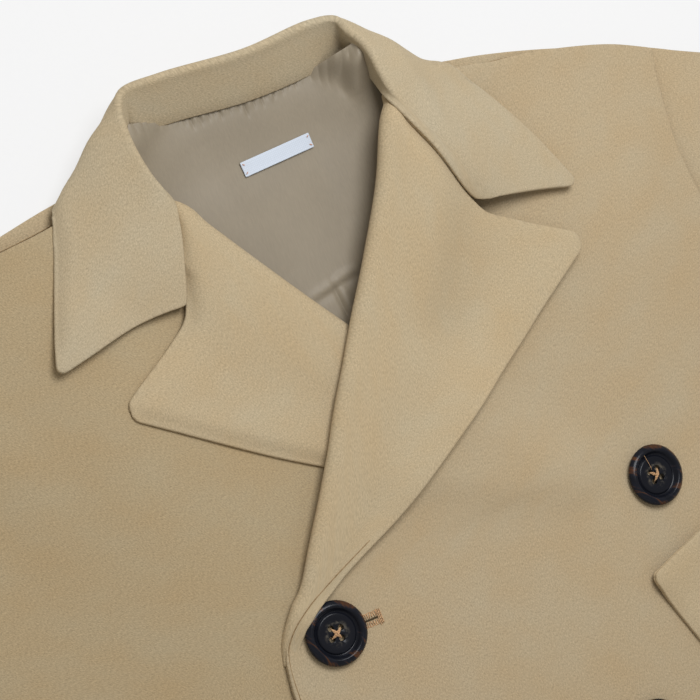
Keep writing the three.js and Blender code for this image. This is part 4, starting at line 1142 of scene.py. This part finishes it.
def make_collar():
    grid = collar_grid()
    for end, radius in zip((0, -1), COLLAR_CORNERS):
        rounded(grid, end, -1, radius)
    n = len(grid)
    fronts = ["front_left", "front_right", "back"]
    lying = sum(COLLAR_COLUMNS[:3])
    near_end = np.minimum(np.arange(n), n - 1 - np.arange(n))
    for rows, width, height in COLLAR_FOLDS:
        crease(grid, rows, width, height)
    leaf = sum(COLLAR_ROWS[:3]) + 8
    rows = np.arange(grid.shape[1])
    free = (1 - smooth(near_end, lying, lying + 8))[:, None] * np.maximum(
        smooth(rows, leaf - 6, leaf)[None], (1 - smooth(near_end, 16, 24))[:, None])
    floor = read(top_of(fronts, 3.0), grid[..., 0], grid[..., 1]) + COLLAR_WALL / 2 + LAYER_GAP
    lifted = smooth(rows, leaf, leaf + 12)[None] * free * (1 - smooth(near_end, 6, 26))[:, None]
    floor = floor + COLLAR_END_LIFT * lifted
    wanted = mix(grid[..., 2], np.maximum(grid[..., 2], floor), free)
    height = wanted.copy()
    for _ in range(14):
        height = np.maximum(mix(wanted, eased(height, 1), 0.9 * free), np.where(free > 0.95, floor, -1))
    grid[..., 2] = height
    # The neck seam lies level with the lapel beside it
    lapels = top_of(["lapel_left", "lapel_right"], 3.0)
    beside = read(lapels, grid[:, 0, 0], grid[:, 0, 1]) - COLLAR_WALL / 2
    gain = np.where(beside > 4, np.maximum(beside - grid[:, 0, 2], -1.5), 0) * (1 - smooth(near_end, 26, 36))
    gain = running_mean(gain, 3)
    away = reach_along(grid, 1)
    grid[..., 2] += gain[:, None] * np.exp(-((away / 22) ** 2))
    margin = away[:, -1:] - away
    pressed = (grid[:, -1:, 0] < -60) * smooth(near_end, 1, 10)[:, None] * smooth(grid[..., 2], 9, 14)
    grid[..., 2] -= COLLAR_PRESSED * pressed * (1 - smooth(margin, 0, 10)) * free
    grid[..., 2] = np.maximum(grid[..., 2], COLLAR_WALL / 2)
    grid = drawn_in(grid, RIM_REACH * COLLAR_WALL / 2)
    lay("collar", grid, COLLAR_WALL)
    # The collar takes the paler, greyer copy of the wool, with painted light
    piece = wall_piece("collar_cloth", grid, COLLAR_WALL, finish_of("wool_collar"))
    placed(piece, "wool", "collar")


def make_welts():
    for hand, side in ((1, "left"), (-1, "right")):
        across, down = (math.radians(slant) for slant in WELT_SLANTS)
        long = np.array([hand * math.sin(down), -math.cos(down), 0])
        wide = np.array([hand * math.cos(across), math.sin(across), 0])
        corner = np.array([hand * WELT_CORNER[0], WELT_CORNER[1], 0])
        u = np.linspace(0, 1, 71)[:, None, None]
        v = np.linspace(0, 1, 25)[None, :, None]
        grid = corner + long * u * WELT_SIZE[1] + wide * v * WELT_SIZE[0]
        for i, j in ((0, 0), (0, -1), (-1, 0), (-1, -1)):
            rounded(grid, i, j, WELT_ROUND)
        grid = drawn_in(grid, RIM_REACH * WELT_WALL / 2)
        draped(grid, WELT_WALL, [f"front_{side}"], rounds=10, spread=1.5)
        beside, above = reach_along(grid, 1), reach_along(grid, 0)
        rise = np.minimum(beside, WELT_SIZE[0] - beside)
        grid[..., 2] += WELT_CROWN * smooth(rise, 0, 9) + WELT_TOP_LIFT * (1 - smooth(above, 0, 26))
        beside, above = reach_along(grid, 1), reach_along(grid, 0)
        grid[..., 2] -= WELT_PRESSED * (1 - smooth(beside, 0, 5)) * smooth(above, 2, 14)
        name = f"pocket_welt_{side}"
        lay(name, grid, WELT_WALL)
        # The welt takes the paler copy of the wool, with painted light
        piece = wall_piece(f"{name}_cloth", grid, WELT_WALL, finish_of("wool_facing"))
        placed(piece, "wool", name)


def label_frame():
    turn = math.radians(LABEL_TURN)
    return np.array([math.cos(turn), math.sin(turn), 0]), np.array([-math.sin(turn), math.cos(turn), 0])


def make_label():
    wide, high = label_frame()
    place = np.array([*LABEL_PLACE, 0])
    u = np.linspace(-0.5, 0.5, 81)[:, None, None]
    v = np.linspace(-0.5, 0.5, 17)[None, :, None]
    grid = place + wide * u * LABEL_SIZE[0] + high * v * LABEL_SIZE[1]
    top = read(top_of(["lining_back"], 1.5), grid[..., 0], grid[..., 1])
    bow = 0.55 * np.cos(math.pi * u[..., 0]) ** 0.5 * (0.35 - v[..., 0])
    grid[..., 2] = eased(top, 6) + LABEL_WALL / 2 + 0.35 + bow
    piece = wall_piece("label_ribbon", grid, LABEL_WALL, finish_of("label"), ONE_PLY)
    lay("neck_label", grid, LABEL_WALL)
    placed(piece, "label", "neck_label")
    strands = []
    heights = top_of(["neck_label"], 1.5)
    for a, b in ((-0.47, -0.3), (-0.47, 0.3), (0.47, -0.3), (0.47, 0.3)):
        middle = place + wide * a * LABEL_SIZE[0] + high * b * LABEL_SIZE[1]
        middle[2] = read(heights, middle[:1], middle[1:2])[0] + 0.05
        lean = wide * math.copysign(0.5, a) + high * math.copysign(0.35, b)
        arch = np.array([0.0, 0.18, 0.22, 0.18, 0.0])
        strands.append((middle + lean * np.linspace(-1, 1, 5)[:, None] + np.outer(arch, (0, 0, 1)), 0.17))
    tacks = strands_piece("label_tacks", strands, finish_of("tack"))
    placed(tacks, "label")


ARM_SEAM = [(226, 87.4), *ARMHOLE[1:-1], (254, -112)]
WELT_SEAM = [
    (101.6, -171.1), (104, -178.6), (107.6, -189), (114.8, -209), (128, -246), (151, -311), (158, -329),
]

# Seams drawn as a fine line of painted shade: the line, the cloth that carries it and its radius
SEAMS = [
    ([(80, 113.6), (95, 114), (111, 113.8), (131.6, 110.6), (149.7, 108.8), (175, 104), (200, 98.6),
      (224, 88.6)], ["front_left", "back"], 0.22),
    ([(-90, 110), (-111, 110), (-131, 107.4), (-149, 105.4), (-175, 101), (-200, 95), (-224, 85)],
     ["front_right", "back"], 0.22),
    ([(-36, -89), (-48.2, -93.7), (-60.7, -98.6), (-68.6, -101.9), (-76.7, -105.8), (-83.6, -110.1),
      (-87.4, -113.3), (-91.2, -117.8), (-93.6, -121.9), (-95.7, -129.1), (-97.2, -143.8), (-97.4, -180),
      (-96, -214), (-94, -400), (-94, -618)],
     ["front_left", "lapel_left"], 0.28),
    (ARM_SEAM, ["front_left", "top_sleeve_left"], 0.42),
    (mirrored(ARM_SEAM, -1), ["front_right", "top_sleeve_right"], 0.42),
    (WELT_SEAM, ["pocket_welt_left"], 0.2),
    (mirrored(WELT_SEAM, -1), ["pocket_welt_right"], 0.2),
]


def make_seams():
    strands = []
    for rows, carriers, radius in SEAMS:
        heights = top_of(carriers, 0)
        line = Line(rows)
        points = line(np.linspace(0, 1, max(12, int(line.length / 1.5))))
        points[:, 2] = running_mean(read(heights, points[:, 0], points[:, 1]), 2) - radius * 0.4
        strands.append((points, radius))
    # The seam lines are strands of wool with painted shade
    piece = strands_piece("seam_lines", strands, finish_of("seam"))
    placed(piece, "wool")


# Buttons


def button_seats():
    """The frame of each button: its middle, and the slope of the cloth under it."""
    heights = top_of(["front_left"], 0)
    seats = []
    reach = np.linspace(-BUTTON_RADIUS, BUTTON_RADIUS, 15)
    dx, dy = np.meshgrid(reach, reach)
    inside = np.hypot(dx, dy) <= BUTTON_RADIUS
    dx, dy = dx[inside], dy[inside]
    for x, y in BUTTONS:
        z = read(heights, x + dx, y + dy)
        slopes = np.linalg.lstsq(np.stack([dx, dy, np.ones_like(dx)], 1), z, rcond=None)[0]
        base = (z - slopes[0] * dx - slopes[1] * dy).max() + LAYER_GAP
        normal = Vector((-slopes[0], -slopes[1], 1)).normalized()
        turn = Vector((0, 0, 1)).rotation_difference(normal).to_matrix().to_4x4()
        seats.append(Matrix.Translation((x, y, base)) @ turn)
    return seats


def alone(made):
    bpy.ops.object.select_all(action="DESELECT")
    made.select_set(True)
    bpy.context.view_layer.objects.active = made


def turn_button(sides):
    """One button in millimetres, turned from a disc by extruding its face ring by ring."""
    bpy.ops.object.select_all(action="DESELECT")
    radius, low = BUTTON_SECTION[0]
    bpy.ops.mesh.primitive_circle_add(vertices=sides, radius=radius, fill_type="NGON", location=(0, 0, 0))
    disc = bpy.context.active_object
    bpy.ops.object.mode_set(mode="EDIT")
    bpy.ops.mesh.select_mode(type="FACE")
    bpy.ops.mesh.select_all(action="SELECT")
    for wide, high in BUTTON_SECTION[1:]:
        bpy.ops.mesh.extrude_region_move(TRANSFORM_OT_translate={"value": (0, 0, high - low)})
        bpy.ops.transform.resize(value=(wide / radius, wide / radius, 1), center_override=(0, 0, high))
        radius, low = wide, high
    bpy.ops.mesh.select_all(action="SELECT")
    bpy.ops.mesh.normals_make_consistent(inside=False)
    bpy.ops.object.mode_set(mode="OBJECT")
    for k in range(4):
        angle = math.pi / 2 * k
        bpy.ops.object.select_all(action="DESELECT")
        bpy.ops.mesh.primitive_cylinder_add(
            vertices=24, radius=HOLE_RADIUS, depth=12,
            location=(HOLE_PLACE * math.cos(angle), HOLE_PLACE * math.sin(angle), 2))
        drill = bpy.context.active_object
        alone(disc)
        cut = disc.modifiers.new("hole", "BOOLEAN")
        cut.operation = "DIFFERENCE"
        cut.solver = "EXACT"
        cut.object = drill
        bpy.ops.object.modifier_apply(modifier=cut.name)
        bpy.data.objects.remove(drill)
    alone(disc)
    soften = disc.modifiers.new("edges", "BEVEL")
    soften.width = 0.22
    soften.segments = 2
    soften.limit_method = "ANGLE"
    soften.angle_limit = math.radians(65)
    bpy.ops.object.modifier_apply(modifier=soften.name)
    bpy.ops.object.shade_smooth_by_angle(angle=math.radians(40))
    return disc


def make_buttons():
    disc = turn_button(bpy.context.scene.coat_trim.sides)
    for k, seat in enumerate(button_seats()):
        mesh = disc.data.copy()
        corners = np.zeros(len(mesh.loops), int)
        mesh.loops.foreach_get("vertex_index", corners)
        flat = np.zeros(len(mesh.vertices) * 3)
        mesh.vertices.foreach_get("co", flat)
        face = mesh.uv_layers.new(name="face")
        face.data.foreach_set("uv", (flat.reshape(-1, 3)[corners, :2] / 1000).ravel())
        piece = bpy.data.objects.new(f"horn_button_{k + 1}", mesh)
        bpy.context.collection.objects.link(piece)
        spin = Matrix.Rotation(math.radians(BUTTON_TURNS[k]), 4, "Z")
        mesh.transform(Matrix.Scale(0.001, 4) @ Matrix.Translation((0, ROW_SHIFT, 0)) @ seat @ spin)
        mesh.materials.clear()
        mesh.materials.append(finish_of("horn"))
        placed(piece, "button", f"button_{k + 1}")
        make_thread(k, seat @ spin)
    bpy.data.objects.remove(disc)


# Strands over a button's face: the hole each leaves, the hole it enters (or 4, the middle), its
# sideways step and its height over the others
CROSSED = [
    (0, 2, -0.55, 0), (0, 2, -0.05, 0.1), (0, 2, 0.45, 0), (1, 3, -0.5, 0.45), (1, 3, 0.0, 0.55),
    (1, 3, 0.5, 0.45), (0, 2, 0.85, 0.2), (1, 3, -0.9, 0.3),
]
SEWN = {
    1: [(0, 2, -0.75, 0.75), (0, 2, -0.25, 0.95), (0, 2, 0.25, 0.9), (0, 2, 0.75, 0.7), (1, 4, -0.7, 0.2),
        (1, 4, -0.1, 0.3), (1, 4, 0.5, 0.2)],
}


def make_thread(k, seat):
    quarters = [math.pi / 2 * q for q in range(4)]
    holes = [np.array([math.cos(angle), math.sin(angle), 0]) * HOLE_PLACE for angle in quarters]
    holes.append(np.zeros(3))
    strands = []
    for first, last, step, over in SEWN.get(k, CROSSED):
        along = holes[last] - holes[first]
        along /= np.linalg.norm(along)
        side = np.array([-along[1], along[0], 0]) * step
        t = np.linspace(0, 1, 17)[:, None]
        line = holes[first] * (1 - t) + holes[last] * t + side * (0.55 + 0.45 * np.cos(math.pi * (2 * t - 1)))
        rise = np.sin(math.pi * np.clip(t[:, 0], 0.02, 0.98)) ** 0.4
        line[:, 2] = 1.0 + rise * (2.1 + over)
        strands.append((line, SEWING))
    if k == 1:
        loose = Line([(1.6, 3.0, 2.6), (2.4, 4.0, 3.5), (4.6, 6.0, 3.4), (6.2, 8.0, 3.6), (7.4, 9.4, 3.9)])
        strands.append((loose(np.linspace(0, 1, 14)), LOOSE_END))
    turned = []
    for line, radius in strands:
        points = [seat @ Vector(p) for p in line.tolist()]
        turned.append((np.array([tuple(p) for p in points]), radius))
    piece = strands_piece(f"button_thread_{k + 1}", turned, finish_of("thread"))
    placed(piece, "button")


def make_buttonholes():
    """Worked buttonholes beside the three buttons near the front edge."""
    heights = top_of(["front_left"], 0)
    for k, (bx, by) in enumerate(BUTTONS[::2]):
        start = np.array([bx - 2.0, by - 0.4])
        end = np.array([bx + 24.4, by - 1.7])
        along = (end - start) / np.linalg.norm(end - start)
        side = np.array([-along[1], along[0]])
        length = np.linalg.norm(end - start)
        strands = []
        arch = np.array([-0.1, 0.26, 0.36, 0.26, -0.1])
        for row, hand in enumerate((1, -1)):
            for q, d in enumerate(np.arange(length - 15, length - 0.6, 1.15)):
                wander = 0.3 * math.sin(q * 2.3 + row * 1.1 + k)
                lean = 0.32 * math.cos(q * 1.7 + k)
                near = start + along * (d + lean) + side * hand * 0.75
                far = start + along * (d - lean + 0.3) + side * hand * (3.3 + wander)
                stitch = mix(near, far, np.linspace(0, 1, 5)[:, None])
                strands.append(strand_on(heights, stitch, arch, STITCH))
            edge = [start + along * d + side * hand * (3.3 + 0.2 * math.sin(d * 2.1 + row))
                    for d in np.linspace(length - 15, length - 0.6, 15)]
            strands.append(strand_on(heights, edge, 0.1, 0.2))
        for q, shift in enumerate((-0.5, 0.35, 1.2)):
            near = start + along * (length + shift) + side * (3.9 - 0.2 * q)
            far = start + along * (length + shift + 0.25) - side * (4.2 - 0.3 * q)
            stitch = mix(near, far, np.linspace(0, 1, 9)[:, None])
            strands.append(strand_on(heights, stitch, 0.3 + 0.12 * np.cos(np.arange(9) * 2.2), STITCH))
        piece = strands_piece(f"buttonhole_{k + 1}", strands, finish_of("thread"))
        placed(piece, "wool")
        # The slit's gap is a strand of wool with painted shade
        slit = [start + along * d for d in np.linspace(length - 15, length - 0.8, 14)]
        slit = [strand_on(heights, slit, 0.05, 0.5)]
        gap = strands_piece(f"buttonhole_slit_{k + 1}", slit, finish_of("slit"))
        placed(gap, "wool")


# Camera and light

CAMERA_RIGHT = (0.85598, -0.38430, 0.34584)
CAMERA_UP = (0.35631, 0.92321, 0.14396)
CAMERA_BACK = (-0.37461, 0.0, 0.92718)
CAMERA_AWAY = 1.025
CAMERA_LENS = 2050 / 700 * 36


def make_camera():
    data = bpy.data.cameras.new("photo_camera")
    data.lens = CAMERA_LENS
    data.sensor_width = 36
    data.clip_start = 0.05
    data.clip_end = 20
    camera = bpy.data.objects.new("photo_camera", data)
    bpy.context.collection.objects.link(camera)
    spot = Vector(CAMERA_BACK) * CAMERA_AWAY + Vector((0, ROW_SHIFT / 1000, 0))
    columns = [Vector(CAMERA_RIGHT), Vector(CAMERA_UP), Vector(CAMERA_BACK)]
    turn = Matrix([[c[r] for c in columns] for r in range(3)]).to_4x4()
    camera.matrix_world = Matrix.Translation(spot) @ turn
    bpy.context.scene.camera = camera


def make_light(name, toward, distance, size, power):
    data = bpy.data.lights.new(name, "AREA")
    data.shape = "DISK"
    data.size = size
    data.energy = power
    data.color = (0.985, 1.0, 1.035)
    light = bpy.data.objects.new(name, data)
    bpy.context.collection.objects.link(light)
    target = Vector((0.1, ROW_SHIFT / 1000 - 0.03, 0))
    away = Vector(toward).normalized()
    light.location = target + away * distance
    light.rotation_euler = (-away).to_track_quat("-Z", "Y").to_euler()


def make_stage():
    settings = bpy.context.scene.coat_stage
    half = 12.0
    mesh = bpy.data.meshes.new("floor")
    corners = [(-half, -half, 0), (half, -half, 0), (half, half, 0), (-half, half, 0)]
    mesh.from_pydata(corners, [], [(0, 1, 2, 3)])
    mesh.materials.append(studio_paper("studio_paper", tuple(settings.paper)))
    floor = bpy.data.objects.new("floor", mesh)
    bpy.context.collection.objects.link(floor)
    world = bpy.data.worlds.new("studio")
    world.use_nodes = True
    world.node_tree.nodes["Background"].inputs["Color"].default_value = (1.0, 0.965, 0.91, 1)
    world.node_tree.nodes["Background"].inputs["Strength"].default_value = settings.fill
    bpy.context.scene.world = world
    make_light("key", (0.05, 0.40, 1.0), 1.05, 0.6, settings.key)
    make_camera()
    bpy.context.scene.view_settings.view_transform = "Standard"


# Operators: one for each piece or group of like pieces, and one for the stage


class COAT_OT_stage(bpy.types.Operator):
    """Lay the studio floor, set the soft light and point the camera as in the photograph"""
    bl_idname = "coat.stage"
    bl_label = "Stage"

    def execute(self, context):
        make_stage()
        return {"FINISHED"}


class COAT_OT_back(bpy.types.Operator):
    """Make the back of wool that the coat lies on"""
    bl_idname = "coat.back"
    bl_label = "Back"

    def execute(self, context):
        make_back()
        return {"FINISHED"}


class COAT_OT_sleeves(bpy.types.Operator):
    """Make the under and top sleeves, laid flat at both sides"""
    bl_idname = "coat.sleeves"
    bl_label = "Sleeves"

    def execute(self, context):
        make_sleeves()
        return {"FINISHED"}


class COAT_OT_lining(bpy.types.Operator):
    """Make the satin back lining with its gathers"""
    bl_idname = "coat.lining"
    bl_label = "Lining"

    def execute(self, context):
        make_lining()
        return {"FINISHED"}


class COAT_OT_fronts(bpy.types.Operator):
    """Make the two fronts and the lapels that turn back from them"""
    bl_idname = "coat.fronts"
    bl_label = "Fronts and lapels"

    def execute(self, context):
        for hand in (-1, 1):
            grid, u = make_front(hand)
            make_lapel(hand, grid, u)
        return {"FINISHED"}


class COAT_OT_collar(bpy.types.Operator):
    """Make the collar with its stand and its two points"""
    bl_idname = "coat.collar"
    bl_label = "Collar"

    def execute(self, context):
        make_collar()
        return {"FINISHED"}


class COAT_OT_welts(bpy.types.Operator):
    """Make the two slanted pocket welts"""
    bl_idname = "coat.welts"
    bl_label = "Pocket welts"

    def execute(self, context):
        make_welts()
        return {"FINISHED"}


class COAT_OT_label(bpy.types.Operator):
    """Make the bare label and its corner stitches"""
    bl_idname = "coat.label"
    bl_label = "Label"

    def execute(self, context):
        make_label()
        return {"FINISHED"}


class COAT_OT_buttons(bpy.types.Operator):
    """Turn the horn buttons and sew them on"""
    bl_idname = "coat.buttons"
    bl_label = "Buttons"

    def execute(self, context):
        make_buttons()
        return {"FINISHED"}


class COAT_OT_stitching(bpy.types.Operator):
    """Work the buttonholes and draw the seam lines"""
    bl_idname = "coat.stitching"
    bl_label = "Buttonholes and seams"

    def execute(self, context):
        make_buttonholes()
        make_seams()
        return {"FINISHED"}


class COAT_PT_panel(bpy.types.Panel):
    """The coat's pieces, in the order in which they are laid"""
    bl_idname = "COAT_PT_panel"
    bl_label = "Pea coat"
    bl_space_type = "VIEW_3D"
    bl_region_type = "UI"
    bl_category = "Pea coat"

    def draw(self, context):
        for group in ("coat_cloth", "coat_trim", "coat_stage"):
            settings = getattr(context.scene, group)
            box = self.layout.box()
            for name in settings.__annotations__:
                box.prop(settings, name)
        for step in STEPS:
            self.layout.operator(step.bl_idname)


STEPS = (
    COAT_OT_stage, COAT_OT_back, COAT_OT_sleeves, COAT_OT_lining, COAT_OT_fronts, COAT_OT_collar,
    COAT_OT_welts, COAT_OT_label, COAT_OT_buttons, COAT_OT_stitching,
)
GROUPS = {"coat_cloth": CoatCloth, "coat_trim": CoatTrim, "coat_stage": CoatStage}


def register():
    for kind in (*GROUPS.values(), *STEPS, COAT_PT_panel):
        bpy.utils.register_class(kind)
    for name, kind in GROUPS.items():
        setattr(bpy.types.Scene, name, bpy.props.PointerProperty(type=kind))


def unregister():
    for name in GROUPS:
        delattr(bpy.types.Scene, name)
    for kind in reversed((*GROUPS.values(), *STEPS, COAT_PT_panel)):
        bpy.utils.unregister_class(kind)


def main():
    register()
    for step in STEPS:
        group, name = step.bl_idname.split(".")
        getattr(getattr(bpy.ops, group), name)()


if __name__ == "__main__":
    main()
